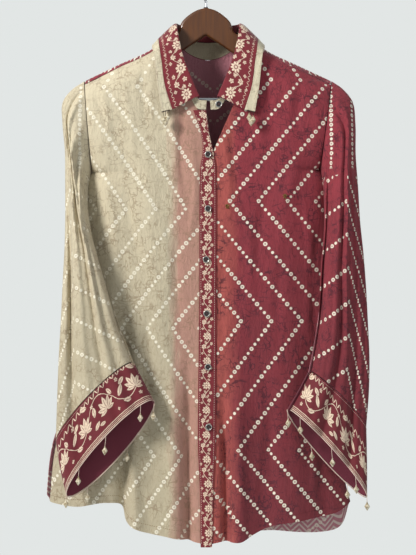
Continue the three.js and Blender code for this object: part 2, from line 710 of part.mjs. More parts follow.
// A place on a ring: turn 0 is the outer point, 90 the front, 180 the inner point.
function ringPoint(ring, turn, pushOut) {
  const angle = THREE.MathUtils.degToRad(turn);
  const middle = ring.out.clone().add(ring.in).multiplyScalar(0.5);
  const reach = ring.out.clone().sub(middle);
  const front = vec(0, -1, ring.lift / ring.half);
  const point = middle.addScaledVector(reach, Math.cos(angle)).addScaledVector(front, Math.sin(angle) * ring.half);
  return point.add(vec(0, -pushOut, 0));
}

const SLEEVE_ROUND = 22;
const LAST_SLEEVE_RING = TAN_RINGS.length - 1;

function ringGrid(rings, folds, steps, firstRing) {
  const curves = ringCurves(rings);
  const grid = [];
  for (let i = 0; i <= steps; i += 1) {
    const share = i / steps;
    const ring = curves(share);
    const ringNumber = firstRing + share * (rings.length - 1);
    const row = [];
    for (let j = 0; j < SLEEVE_ROUND; j += 1) {
      const turn = (360 * j) / SLEEVE_ROUND;
      row.push(ringPoint(ring, turn, sleeveFoldOut(folds, ringNumber, turn)));
    }
    grid.push(row);
  }
  return grid;
}

// A sleeve starts on its armhole, set a little out from the panels.
function sleeve(rings, folds) {
  const grid = ringGrid(rings, folds, 17, 0);
  const outward = Math.sign(rings[0].outX) * ARMHOLE_HALF_GAP;
  grid[0].forEach((point) => {
    point.x += outward;
  });
  return wallOver(grid, WALL, true);
}

function cuff(rings, folds) {
  return wallOver(ringGrid(rings, folds, 4, LAST_SLEEVE_RING), WALL, true);
}

// The collar stations of both halves, as curves round the neck.
function collarCurves(withTips) {
  const rows = COLLAR.map((row, i) => {
    const neck = bodyPoint(row.neckX, row.neckZ, i < BACK_STATIONS_FROM);
    return {
      neck: neck.add(vec(row.topX, row.topY, row.topZ).sub(neck).setLength(NECK_GAP)),
      top: vec(row.topX, row.topY, row.topZ),
      roll: vec(row.rollX, row.rollY, row.rollZ),
      edge: vec(row.edgeX, row.edgeY, row.edgeZ),
      band: vec(row.bandX, row.bandY, row.bandZ),
    };
  });
  if (withTips) {
    const neck = bodyPoint(STAND_TIP.neckX, STAND_TIP.neckZ, true).add(vec(0, 0, NECK_GAP));
    rows.unshift({ ...rows[0], neck, top: vec(STAND_TIP.topX, STAND_TIP.topY, STAND_TIP.topZ) });
  }
  const mirrored = (point) => vec(2 * SHIRT_X - point.x, point.y, point.z);
  const line = (key) => {
    const half = rows.map((row) => row[key]);
    const other = half.slice(0, -1).reverse().map(mirrored);
    return new THREE.CatmullRomCurve3([...half, ...other], false, "centripetal");
  };
  return { neck: line("neck"), top: line("top"), roll: line("roll"), edge: line("edge"), band: line("band") };
}

const COLLAR_STEPS = 28;

function collarStand() {
  const lines = collarCurves(true);
  const grid = [];
  for (let i = 0; i <= COLLAR_STEPS; i += 1) {
    const share = i / COLLAR_STEPS;
    const low = lines.neck.getPoint(share);
    const high = lines.top.getPoint(share);
    grid.push([0, 0.5, 1].map((up) => low.clone().lerp(high, up)));
  }
  return wallOver(grid, WALL, false);
}

// One section of the fall: up from the stand, over the roll and out to the edge.
function fallSection(top, roll, edge, count) {
  const toTop = top.clone().sub(roll).normalize();
  const toEdge = edge.clone().sub(roll).normalize();
  const apart = toEdge.clone().sub(toTop).normalize();
  const start = top.clone().addScaledVector(toTop, -NECK_GAP);
  const inside = roll.clone().addScaledVector(toTop, FOLD_RUN).addScaledVector(apart, -FOLD_HALF_GAP / 2);
  const outside = roll.clone().addScaledVector(toEdge, FOLD_RUN).addScaledVector(apart, FOLD_HALF_GAP);
  const points = top.distanceTo(roll) > 2 * FOLD_RUN ? [start, inside, roll, outside, edge] : [start, roll, outside, edge];
  return new THREE.CatmullRomCurve3(points, false, "centripetal").getPoints(count);
}

function collarFall() {
  const lines = collarCurves(false);
  const grid = [];
  for (let i = 0; i <= COLLAR_STEPS; i += 1) {
    const share = i / COLLAR_STEPS;
    const edge = lines.edge.getPoint(share);
    grid.push(fallSection(lines.top.getPoint(share), lines.roll.getPoint(share), edge, 7));
  }
  return wallOver(grid, WALL, false);
}

function collarEdging() {
  const lines = collarCurves(false);
  const grid = [];
  for (let i = 0; i <= COLLAR_STEPS; i += 1) {
    const share = i / COLLAR_STEPS;
    const band = lines.band.getPoint(share);
    const edge = lines.edge.getPoint(share);
    const start = edge.clone().addScaledVector(band.clone().sub(edge).normalize(), SEAM_GAP);
    grid.push([0, 0.5, 1].map((out) => start.clone().lerp(band, out)));
  }
  return wallOver(grid, WALL, false);
}

// Wooden hanger with rounded edges and two blind bores for the trouser bar
function hangerWood() {
  const shoulder = WOOD_SHOULDER_X.map((x) => ({ x, z: ridgeZ(x) - WOOD_BELOW_RIDGE }));
  const outline = [...WOOD_TOP, ...shoulder, ...WOOD_UNDERSIDE].map((row) => vec(row.x, row.z, 0));
  const half = new THREE.CatmullRomCurve3(outline, false, "centripetal");
  const left = half.getPoints(30);
  const right = left.slice(1, -1).reverse().map((point) => vec(-point.x, point.y, 0));
  const inset = (point) => new THREE.Vector2(point.x, point.y);
  const shape = new THREE.Shape([...left, ...right].map(inset));
  const body = new THREE.ExtrudeGeometry(shape, {
    depth: WOOD_THICKNESS - 2 * WOOD_EDGE_ROUND,
    bevelThickness: WOOD_EDGE_ROUND,
    bevelSize: WOOD_EDGE_ROUND,
    bevelOffset: -WOOD_EDGE_ROUND,
    bevelSegments: 2,
  });
  body.translate(0, 0, -(WOOD_THICKNESS - 2 * WOOD_EDGE_ROUND) / 2);
  body.rotateX(Math.PI / 2);
  const bore = barGeometry(BAR_RADIUS + BORE_CLEARANCE, BAR_HALF_LENGTH + BORE_CLEARANCE);
  return geometryOf(solidOf(body).subtract(solidOf(bore)));
}

function barGeometry(radius, halfLength) {
  const bar = new THREE.CylinderGeometry(radius, radius, 2 * halfLength, 16);
  bar.rotateZ(Math.PI / 2);
  bar.translate(0, 0, BAR_Z);
  return bar;
}

// Wire hook: stem up from the wood, out to one side and over
function hangerHook() {
  const radius = HOOK_INSIDE_RADIUS + HOOK_WIRE_RADIUS;
  const points = [
    vec(0, 0, WOOD_TOP[0].z + BORE_CLEARANCE),
    vec(0, 0, WOOD_TOP[0].z + 9),
    vec(-4, 0, WOOD_TOP[0].z + 17),
  ];
  for (let angle = 215; angle >= -35; angle -= 25) {
    const turn = THREE.MathUtils.degToRad(angle);
    points.push(vec(radius * Math.cos(turn), 0, radius * Math.sin(turn) - HOOK_INSIDE_RADIUS));
  }
  const wire = new THREE.Shape().absarc(0, 0, HOOK_WIRE_RADIUS, 0, 2 * Math.PI);
  return new THREE.ExtrudeGeometry(wire, {
    steps: 30,
    curveSegments: 4,
    extrudePath: new THREE.CatmullRomCurve3(points, false, "centripetal"),
  });
}

// A shallow dished button, turned on its axis, its back at height 0
function buttonGeometry() {
  const profile = [
    [0, 0],
    [BUTTON_RADIUS, 0],
    [BUTTON_RADIUS, BUTTON_THICKNESS],
    [BUTTON_RADIUS - BUTTON_RIM, BUTTON_THICKNESS],
    [0, BUTTON_THICKNESS - BUTTON_DISH],
  ];
  return new THREE.LatheGeometry(profile.map(([r, h]) => new THREE.Vector2(r, h)), 12);
}

// A drop bead on its thread, hanging from a point of the strip
function dropBead(from, length) {
  const half = BEAD_HEIGHT / 2;
  const profile = [
    [0, -half],
    [BEAD_RADIUS, 0],
    [BEAD_RADIUS * 0.3, half * 0.8],
    [0, half],
  ];
  const bead = new THREE.LatheGeometry(profile.map(([r, h]) => new THREE.Vector2(r, h)), 6);
  bead.rotateX(Math.PI / 2);
  bead.translate(from.x, from.y, from.z - length - half);
  const thread = new THREE.CylinderGeometry(THREAD_RADIUS, THREAD_RADIUS, length + 3, 4);
  thread.rotateX(Math.PI / 2);
  thread.translate(from.x, from.y, from.z - length / 2 - 0.5);
  return [thread, bead];
}

// A narrow strip along the cuff's edge that carries the beads
function cuffBeads(rings, folds) {
  const curves = ringCurves(rings);
  const ringAt = (share) => {
    const ringNumber = LAST_SLEEVE_RING + share * (rings.length - 1);
    return Array.from({ length: SLEEVE_ROUND }, (_, j) => {
      const turn = (360 * j) / SLEEVE_ROUND;
      return ringPoint(curves(share), turn, sleeveFoldOut(folds, ringNumber, turn));
    });
  };
  const edge = ringAt(1);
  const above = ringAt(0.9);
  const lowered = (down) => edge.map((point, j) => point.clone().add(point.clone().sub(above[j]).setLength(down)));
  const strip = wallOver([lowered(STRIP_GAP), lowered(STRIP_GAP + STRIP_HEIGHT)], STRIP_WALL, true);
  const beads = CUFF_BEADS.flatMap(({ turn, thread }) => {
    const step = (turn / 360) * SLEEVE_ROUND;
    const low = Math.floor(step);
    const from = edge[low].clone().lerp(edge[(low + 1) % SLEEVE_ROUND], step - low);
    return dropBead(from.add(vec(0, 0, -STRIP_GAP - STRIP_HEIGHT / 2)), thread);
  });
  return joined([strip, ...beads]);
}

// Beads under a collar tip: side -1 is the viewer's left
function collarBeads(side) {
  const [tip] = COLLAR;
  const across = (x) => (side < 0 ? x : 2 * SHIRT_X - x);
  const inner = vec(across(tip.edgeX - 4), tip.edgeY, tip.edgeZ);
  const outer = vec(across(tip.bandX), tip.bandY, tip.bandZ);
  const drop = (share, down) => inner.clone().lerp(outer, share).add(vec(0, 0, -down));
  const clear = 1.2;
  const shares = [0, 0.5, 1];
  const strip = wallOver(
    [shares.map((share) => drop(share, clear)), shares.map((share) => drop(share, clear + STRIP_HEIGHT))],
    STRIP_WALL,
    false,
  );
  const beads = TIP_BEADS.flatMap(({ along, thread }) => dropBead(drop(along, clear + STRIP_HEIGHT / 2), thread));
  return joined([strip, ...beads]);
}

function piece(name, geometry, finish) {
  const [color, roughness, metalness] = COLOURS[finish];
  const mesh = new THREE.Mesh(geometry, new THREE.MeshStandardMaterial({ color, roughness, metalness }));
  mesh.name = name;
  return mesh;
}

function shirtPieces() {
  const group = new THREE.Group();
  group.add(
    piece("front_tan", frontTan(), "tan"),
    piece("front_maroon", frontMaroon(), "maroon"),
    piece("back", back(), "maroon"),
    piece("placket", placket(), "trim"),
    piece("collar_stand", collarStand(), "tan"),
    piece("collar", collarFall(), "trim"),
    piece("collar_edging", collarEdging(), "tan"),
    piece("sleeve_tan", sleeve(TAN_RINGS, TAN_SLEEVE_FOLDS), "tan"),
    piece("sleeve_maroon", sleeve(MAROON_RINGS, MAROON_SLEEVE_FOLDS), "maroon"),
    piece("cuff_tan", cuff(TAN_CUFF_RINGS, TAN_SLEEVE_FOLDS), "trim"),
    piece("cuff_maroon", cuff(MAROON_CUFF_RINGS, MAROON_SLEEVE_FOLDS), "trim"),
  );
  return group;
}

function buttonPieces() {
  const group = new THREE.Group();
  const add = (name, place) => {
    const button = piece(name, buttonGeometry(), "button");
    button.rotation.x = Math.PI;
    button.position.copy(place);
    group.add(button);
  };
  const offPlacket = LAP_OUT + WALL / 2 + 0.4;
  for (const { name, x, z } of BUTTONS) {
    const place = bodyPoint(x, z, true);
    place.y -= offPlacket;
    add(name, place);
  }
  add(STAND_BUTTON.name, vec(STAND_BUTTON.x, STAND_BUTTON.y, STAND_BUTTON.z));
  return group;
}

function beadPieces() {
  const group = new THREE.Group();
  group.add(
    piece("cuff_beads_tan", cuffBeads(TAN_CUFF_RINGS, TAN_SLEEVE_FOLDS), "bead"),
    piece("cuff_beads_maroon", cuffBeads(MAROON_CUFF_RINGS, MAROON_SLEEVE_FOLDS), "bead"),
    piece("collar_beads_left", collarBeads(-1), "bead"),
    piece("collar_beads_right", collarBeads(1), "bead"),
  );
  return group;
}

function hangerPieces() {
  const group = new THREE.Group();
  group.add(
    piece("hanger", hangerWood(), "wood"),
    piece("hanger_hook", hangerHook(), "steel"),
    piece("trouser_bar", barGeometry(BAR_RADIUS, BAR_HALF_LENGTH), "steel"),
  );
  return group;
}

const shirt = new THREE.Group();
shirt.add(shirtPieces(), buttonPieces(), beadPieces(), hangerPieces());

export default shirt;
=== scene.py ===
"""A long printed tunic shirt on a wooden hanger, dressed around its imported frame.

Lengths in the tables are millimetres, and meshes are made in metres. X is to the viewer's right, the front
faces -Y and Z is up. Print places are read off in photo pixels and made into millimetres by Photo.
"""

import logging
import math
from dataclasses import dataclass, field
from enum import Enum
from typing import Callable, ClassVar, Iterable, Sequence

import bmesh
import bpy
import numpy as np
from mathutils import Matrix, Vector

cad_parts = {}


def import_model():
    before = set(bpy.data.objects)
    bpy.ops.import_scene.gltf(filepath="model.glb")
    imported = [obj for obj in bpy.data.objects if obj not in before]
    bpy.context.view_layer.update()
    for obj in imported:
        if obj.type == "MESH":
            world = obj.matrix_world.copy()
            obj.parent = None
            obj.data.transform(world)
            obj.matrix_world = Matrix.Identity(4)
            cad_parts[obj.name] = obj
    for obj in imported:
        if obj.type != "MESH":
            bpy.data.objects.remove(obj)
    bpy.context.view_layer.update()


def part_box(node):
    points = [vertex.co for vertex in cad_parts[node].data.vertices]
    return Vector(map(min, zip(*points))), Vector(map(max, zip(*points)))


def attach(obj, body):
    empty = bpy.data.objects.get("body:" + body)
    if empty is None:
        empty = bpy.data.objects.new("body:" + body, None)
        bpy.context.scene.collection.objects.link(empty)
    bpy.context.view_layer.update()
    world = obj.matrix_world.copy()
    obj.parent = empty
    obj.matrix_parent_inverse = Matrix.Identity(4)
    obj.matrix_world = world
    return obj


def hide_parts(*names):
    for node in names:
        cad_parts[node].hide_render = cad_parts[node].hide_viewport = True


log = logging.getLogger("shirt")
MM = 0.001
Array = np.ndarray
Thing = bpy.types.Object
Material = bpy.types.Material
Tree = bpy.types.NodeTree
Node = bpy.types.Node
Socket = bpy.types.NodeSocket
Colour = tuple[float, float, float, float]
Triple = tuple[float, float, float]


class Table:
    """A short table with named columns that is read smoothly from one column to another."""

    def __init__(self, columns: str, *rows: Sequence[float]) -> None:
        """Keeps the rows.

        Args:
            columns: names of the columns, with spaces between them.
            rows: one tuple of numbers for each row.
        """
        self.names = columns.split()
        self.rows = np.array(rows, float)

    def __getitem__(self, name: str) -> Array:
        """The values of one column."""
        return self.rows[:, self.names.index(name)]

    def each(self) -> Iterable[dict[str, float]]:
        """The rows as dictionaries."""
        return (dict(zip(self.names, row)) for row in self.rows)

    def read(self, source: str, target: str, at: Array | float) -> Array:
        """Reads one column at places of another, on a smooth curve through the rows.

        Args:
            source: the column that runs one way from row to row.
            target: the column that is read.
            at: places in the source column.

        Returns:
            The values there.
        """
        known, value = self[source], self[target]
        at = np.asarray(at, float)
        sign = np.sign(known[-1] - known[0])
        i = np.clip(np.searchsorted(sign * known, sign * at, side="left") - 1, 0, len(known) - 2)
        before = np.maximum(i - 1, 0)
        after = np.minimum(i + 2, len(known) - 1)
        run = known[i + 1] - known[i]
        t = np.clip((at - known[i]) / run, 0, 1)
        slope_a = (value[i + 1] - value[before]) / (known[i + 1] - known[before]) * run
        slope_b = (value[after] - value[i]) / (known[after] - known[i]) * run
        rise = t * t * (3 - 2 * t)
        bend = slope_a * t * (1 - t) ** 2 - slope_b * t * t * (1 - t)
        return value[i] * (1 - rise) + value[i + 1] * rise + bend

    def line(self, source: str, target: str, at: Array | float) -> Array:
        """Reads one column at places of another on straight lines, run on past both ends."""
        known, value = self[source], self[target]
        at = np.asarray(at, float)
        i = np.clip(np.searchsorted(known, at) - 1, 0, len(known) - 2)
        return value[i] + (at - known[i]) * (value[i + 1] - value[i]) / (known[i + 1] - known[i])


class Photo:
    """Where a photo pixel lies on the shirt's plane."""

    SCALE = 1.5
    CENTRE_X = 206
    TOP_Z = -56

    @classmethod
    def pixel_x(cls, x: Array) -> Array:
        """The pixel column of a place's X."""
        return x / cls.SCALE + cls.CENTRE_X

    @classmethod
    def pixel_y(cls, z: Array) -> Array:
        """The pixel row of a place's Z."""
        return (cls.TOP_Z - z) / cls.SCALE

    @classmethod
    def x(cls, column: float) -> float:
        """The X of a pixel column."""
        return (column - cls.CENTRE_X) * cls.SCALE

    @classmethod
    def z(cls, row: float) -> float:
        """The Z of a pixel row."""
        return cls.TOP_Z - row * cls.SCALE


# The cut, as the solids have it
SHIRT_X = 3.5
CLOTH = 0.8
SEAM_GAP = 0.5
SIDE_SEAM_HALF_GAP = 0.8
ARMHOLE_HALF_GAP = 0.7
NECK_GAP = 1.0
PLACKET_OUT = 2.2
SHOULDER_ROUND = 40
SIDE_ROUND = 110
SIDE_ROUND_POWER = 2.2
SEAM_FORWARD = 7
ARMHOLE_HALF_DEPTH = 30
CREASE_DEPTH = 1.5

RIDGE = Table(
    "x z",
    (-215, -190), (-184, -174), (-132, -149), (-81, -125), (-52, -98), (3, -80), (59, -98), (89, -126),
    (134, -148), (190, -174), (220, -190),
)
LEFT_SIDE = Table(
    "z x",
    (-309, -172), (-316, -176.5), (-324, -180), (-334, -182.5), (-350, -184), (-386, -186), (-446, -189),
    (-551, -201), (-656, -214), (-746, -231), (-812, -237),
)
RIGHT_SIDE = Table(
    "z x",
    (-306, 171.5), (-314, 176), (-322, 180), (-332, 182.5), (-350, 184), (-376, 185), (-431, 187),
    (-551, 201), (-656, 204), (-752, 206), (-790, 213), (-812, 219),
)
DEPTH = Table("z front back", (-80, 38, 33), (-220, 38, 33), (-320, 34, 28), (-600, 30, 24), (-880, 27, 22))
LEFT_NECKLINE = Table("x z", (-52, -105), (-46, -132), (-37, -165), (-26, -195), (-12, -222))
RIGHT_NECKLINE = Table("x z", (59, -105), (53, -132), (46, -165), (42, -190), (42, -212))
BACK_NECKLINE = Table(
    "x z",
    (-52, -91), (-46, -104), (-30, -125), (3, -137), (37, -125), (53, -104), (59, -91),
)
PLACKET = Table(
    "z left right",
    (-222, -19, 0), (-258, -7, 5), (-285, -5, 11), (-311, -9, 15), (-506, -10, 15), (-718, -12, 14),
    (-794, -9, 11), (-877, -8, 9),
)
TAN_UNDER_PLACKET = 7
MAROON_FREE_EDGE = Table(
    "z x",
    (-212, 42), (-246, 27), (-281, 12), (-311, 4), (-506, 2), (-718, 0), (-794, 3), (-874, 2),
)
TAN_HEM = Table(
    "x z",
    (-237, -812), (-194, -817), (-150, -810), (-128, -814), (-119, -840), (-99, -852), (-49, -863),
    (-1, -873),
)
MAROON_HEM = Table(
    "x z",
    (2, -874), (21, -870), (52, -869), (72, -858), (101, -845), (150, -836), (198, -826), (219, -812),
)
BACK_HEM = Table(
    "x z",
    (-237, -812), (-189, -812), (-140, -808), (-84, -836), (-39, -854), (3, -862), (94, -861),
    (164, -862), (204, -853), (219, -812),
)

# Long folds: a line from its top to its end, half width, and how far out it stands
FOLD_COLUMNS = "top_x top_z end_x end_z width out"
FRONT_FOLDS = Table(
    FOLD_COLUMNS,
    (-121, -480, -124, -830, 9, -13), (-104, -500, -106, -845, 13, 8), (-27, -560, -27, -872, 7, -14),
    (-46, -560, -48, -868, 12, 7), (-160, -190, -150, -420, 14, 4), (-100, -180, -70, -520, 16, 3),
    (25, -600, 30, -868, 7, -14), (46, -580, 52, -866, 11, 8), (84, -560, 90, -850, 16, -6),
    (128, -480, 136, -838, 18, 6), (172, -560, 180, -828, 14, -6), (130, -200, 110, -520, 18, 4),
)
BACK_FOLDS = Table(
    FOLD_COLUMNS,
    (-150, -420, -160, -805, 18, 7), (-90, -260, -100, -830, 20, -6), (-30, -360, -40, -850, 20, 7),
    (40, -300, 44, -858, 18, -6), (96, -420, 104, -856, 20, 7), (160, -480, 170, -850, 16, -6),
)

# Creases: soft troughs and ridges with two ends, uneven in length, depth and spacing
CREASE_COLUMNS = "x0 z0 x1 z1 width out"
FRONT_CREASES = Table(
    CREASE_COLUMNS,
    (-168, -190, -150, -236, 4, -1.6), (-158, -184, -146, -262, 5, 1.4), (-140, -236, -96, -330, 7, -1.5),
    (-128, -178, -108, -300, 6, 1.2), (-92, -150, -84, -268, 7, -1.4), (-60, -196, -44, -330, 6, 1.5),
    (-34, -214, -30, -352, 6, -2.2), (-22, -260, -26, -420, 5, 1.6), (-40, -400, -34, -560, 6, -1.6),
    (-70, -380, -62, -520, 8, 1.3), (-118, -330, -92, -470, 8, -1.7), (-150, -330, -140, -520, 9, 2.2),
    (-166, -350, -160, -560, 7, -2.4), (-84, -520, -78, -700, 8, -1.8), (-62, -560, -58, -790, 7, 1.6),
    (-36, -640, -34, -850, 5, 2.2), (-14, -560, -15, -700, 4, 1.1), (-150, -600, -158, -790, 9, -2.6),
    (-176, -640, -190, -800, 8, 2.4), (-206, -680, -216, -805, 7, -2.2), (-98, -700, -88, -842, 7, -1.9),
    (24, -250, 30, -400, 6, 1.4), (40, -232, 56, -360, 6, -1.6), (70, -160, 78, -300, 7, 1.5),
    (92, -150, 104, -262, 6, -1.4), (118, -160, 124, -240, 6, 1.3), (146, -176, 138, -270, 7, -1.8),
    (164, -190, 158, -300, 5, 1.6), (140, -280, 108, -380, 8, 1.6), (96, -330, 80, -470, 7, -1.6),
    (60, -380, 58, -540, 8, 1.4), (30, -430, 28, -580, 5, -1.5), (120, -420, 112, -600, 8, -2.0),
    (150, -360, 150, -560, 7, 2.4), (168, -400, 172, -600, 6, -2.6), (74, -600, 72, -800, 7, 1.6),
    (104, -640, 110, -838, 7, -1.9), (44, -640, 40, -780, 4, -1.4), (152, -640, 158, -828, 7, 2.2),
    (196, -640, 202, -810, 6, -2.0), (16, -700, 18, -862, 4, 1.8),
)
BACK_CREASES = Table(
    CREASE_COLUMNS,
    (-150, -196, -120, -330, 9, -2.2), (-96, -160, -70, -330, 8, 1.8), (-40, -170, -36, -300, 8, -1.8),
    (20, -160, 26, -330, 8, 1.6), (78, -160, 70, -300, 8, -1.9), (140, -190, 116, -330, 9, 2.2),
    (-120, -380, -126, -600, 9, 2.0), (-66, -420, -70, -680, 8, -2.0), (4, -420, 8, -640, 9, 1.8),
    (66, -400, 72, -690, 8, -1.8), (128, -360, 134, -600, 9, 2.2), (-190, -600, -200, -790, 9, -2.2),
    (-134, -620, -130, -800, 8, 1.9), (-8, -660, -10, -850, 8, -1.8), (120, -620, 126, -850, 8, -2.0),
    (190, -640, 196, -830, 7, 1.8),
)

# Sleeve rings: outer point, inner point, half depth, and how far the front edge stands above the middle
RING_COLUMNS = "out_x out_y out_z in_x in_y in_z half lift"
TAN_RINGS = Table(
    RING_COLUMNS,
    (-184, 0, -174, -172.5, 0, -310.5, 30, 0), (-204, -3, -188, -175.5, -5, -320, 33, 0),
    (-217, -5, -207, -177, -10, -328, 34, 0), (-217, -7, -238, -178.5, -17, -339, 33, 0),
    (-213, -11, -280, -178.5, -26, -355, 31, 0), (-212, -17, -325, -176, -37, -378, 29, 0),
    (-211, -26, -373, -170, -48, -408, 27, 1), (-211, -37, -426, -160, -56, -442, 25, 2),
    (-213, -46, -480, -149, -60, -478, 23, 5), (-215, -52, -535, -139, -62, -512, 21, 9),
    (-218, -55, -592, -129, -63, -545, 19, 13), (-220, -57, -650, -118, -63, -572, 17, 17),
    (-222, -58, -713, -107, -63, -600, 16, 20),
)
TAN_CUFF_RINGS = Table(
    RING_COLUMNS,
    (-222, -58, -714.4, -106, -63, -601.4, 16, 20), (-216, -59, -752, -92, -63, -629, 16, 24),
    (-207, -60, -791, -77, -63, -657, 17, 27),
)
MAROON_RINGS = Table(
    RING_COLUMNS,
    (190, 0, -174, 171.5, 0, -306.5, 30, 0), (207, -3, -186, 174.5, -5, -316, 33, 0),
    (222, -5, -206, 176, -10, -325, 34, 0), (226, -7, -240, 177.5, -17, -338, 33, 0),
    (226, -11, -286, 177.5, -26, -356, 31, 0), (229, -17, -336, 177, -37, -384, 29, 0),
    (231, -26, -386, 175, -48, -416, 27, 1), (235, -37, -436, 171, -56, -450, 25, 2),
    (238, -46, -487, 169, -60, -486, 23, 3), (240, -52, -538, 167, -62, -521, 21, 5),
    (242, -55, -590, 163, -63, -554, 19, 8), (241, -57, -641, 158, -63, -583, 17, 10),
    (237, -58, -692, 152, -63, -612, 16, 12),
)
MAROON_CUFF_RINGS = Table(
    RING_COLUMNS,
    (237, -58, -693.4, 151, -63, -613.4, 16, 12), (238, -59, -744, 137, -63, -640, 16, 14),
    (238, -60, -794, 121, -63, -668, 17, 16),
)
LAST_SLEEVE_RING = 12

# Folds of the sleeves: ring and turn in degrees from the outer point round the front, at both ends
SLEEVE_FOLD_COLUMNS = "top_ring top_turn end_ring end_turn spread out"
TAN_SLEEVE_FOLDS = Table(
    SLEEVE_FOLD_COLUMNS,
    (4, 40, 12, 62, 9, -8), (4, 62, 12, 88, 16, 4), (1, 142, 7, 166, 18, -8), (0.4, 76, 4, 58, 8, -2.6),
    (0.3, 96, 3.4, 84, 7, 2.2), (1.4, 112, 5, 104, 8, -2.4), (5.2, 118, 10, 128, 9, -2.2),
    (8, 142, 13, 140, 8, 2.0), (0.2, 122, 4.6, 92, 7, -4.2), (0.2, 106, 4.2, 72, 7, 3.2),
    (0.4, 138, 5, 114, 7, 3.2), (1.2, 88, 7, 58, 7, -3.6), (7.4, 20, 13, 24, 10, 2.2),
    (-1, 26, 5.5, 92, 4.5, -5.0), (-1, 38, 5.5, 104, 5, 4.0), (-0.6, 10, 5.5, 72, 5, 3.0),
    (3, 215, 9, 226, 14, -4), (1, 262, 6, 250, 12, 3.4), (6.4, 288, 13, 276, 14, -4),
    (4, 322, 12, 318, 12, 3.0),
)
MAROON_SLEEVE_FOLDS = Table(
    SLEEVE_FOLD_COLUMNS,
    (1, 116, 9, 156, 16, -11), (2, 70, 10, 112, 15, 4), (7.4, 72, 12, 62, 9, -6),
    (0.4, 84, 4, 92, 8, -2.6), (0.4, 60, 3.6, 66, 8, 2.2), (3, 40, 9, 36, 10, -2.4),
    (9, 104, 14, 96, 9, 2.2), (0.2, 130, 5, 150, 7, -4.6), (0.3, 108, 5.4, 124, 7, 3.2),
    (1, 66, 7, 60, 7, -3.8), (4, 132, 10, 152, 8, 3.2), (8, 26, 13, 30, 9, 2.0),
    (-1, 56, 6, 92, 4.5, -5.0), (-1, 42, 6, 78, 5, 3.6), (-0.6, 70, 6, 106, 5, 3.0),
    (3, 215, 9, 226, 14, -4), (1, 262, 6, 250, 12, 3.4), (6.4, 288, 13, 276, 14, -4),
    (4, 322, 12, 318, 12, 3.0),
)

# Collar stations of the viewer's left half, from the front end round to the middle of the back
COLLAR = Table(
    "neck_x neck_z top_x top_y top_z roll_x roll_y roll_z edge_x edge_y edge_z band_x band_y band_z",
    (-13, -220, -11, -42, -206, -10, -46, -202, -50, -48, -222, -66, -49, -225),
    (-26, -195, -24, -42, -179, -23, -46, -172, -61, -48, -186, -72, -49, -188),
    (-37, -165, -34, -39, -152, -33, -43, -146, -66, -45, -150, -76, -46, -151),
    (-46, -132, -41, -33, -124, -40, -38, -118, -69, -41, -130, -78, -42, -136),
    (-52, -105, -46, -18, -100, -44, -20, -93, -71, -24, -115, -81, -25, -127),
    (-50, -96, -46, 0, -91, -45, 0, -86, -71, 0, -109, -80, 1, -119),
    (-46, -104, -42, 16, -95, -40, 18, -85, -62, 26, -114, -68, 28, -124),
    (-30, -125, -28, 30, -106, -26, 32, -84, -38, 40, -130, -41, 41, -140),
    (3.5, -137, 3.5, 34, -110, 3.5, 36, -83, 3.5, 44, -135, 3.5, 45, -145),
)
BACK_STATIONS_FROM = 5
STAND_TIP = {"neck": (0, -222), "top": (1, -42, -208)}
FOLD_HALF_GAP = 1.6
FOLD_RUN = 4

# Chevron rows of the two fronts: where the corners lie, how far apart the lines are, and which way each
# corner points (0 to the viewer's left, 1 to the right)
CHEVRON_COLUMNS = "y phase start step"
TAN_CHEVRONS = Table(
    CHEVRON_COLUMNS,
    (-110, -1, 112, 36), (87, 0, 104, 33.6), (209, 1, 96, 30), (328, 2, 96, 25.5), (456, 3, 98.8, 27.6),
    (574, 4, 98.8, 28),
)
MAROON_CHEVRONS = Table(
    CHEVRON_COLUMNS,
    (-67, 0, 241, 30), (80, 1, 241.3, 29.5), (201, 2, 229.5, 28.8), (321, 3, 241.5, 30.3),
    (450, 4, 237.8, 30.4), (560, 5, 240, 30),
)
CHEVRON_REACH = 3
DOTS_ON_SIDE = 28
DOT_STEP = 4.8

# Drop beads: place round the cuff's edge in degrees from the outer point round the front, and thread length
CUFF_BEADS = Table("turn thread", (4, 7), (46, 10), (88, 13), (136, 10), (188, 7), (250, 7), (304, 7))
TIP_BEADS = Table("along thread", (0.2, 3), (0.5, 9), (0.8, 5))
BEAD_RADIUS = 4.4
BEAD_HEIGHT = 12.6
STRIP_GAP = 2.1


def placed_object(name: str, data: bpy.types.ID) -> Thing:
    """A new object in the scene, at the origin."""
    thing = bpy.data.objects.new(name, data)
    bpy.context.scene.collection.objects.link(thing)
    return thing


def round_over(run: Array, power: float) -> Array:
    """Rises from 0 to 1 over a run of 1 as a rounded shoulder does."""
    left = 1 - np.clip(run, 0, 1)
    return (1 - left**power) ** (1 / power)


def smoothstep(value: Array, low: float, high: float) -> Array:
    """Rises softly from 0 to 1 between two values."""
    t = np.clip((value - low) / (high - low), 0, 1)
    return t * t * (3 - 2 * t)


def resampled(points: Array, count: int) -> Array:
    """Points spaced evenly along a polyline."""
    steps = np.concatenate([[0], np.cumsum(np.linalg.norm(np.diff(points, axis=0), axis=1))])
    at = np.linspace(0, steps[-1], count)
    return np.stack([np.interp(at, steps, points[:, k]) for k in range(points.shape[1])], axis=1)


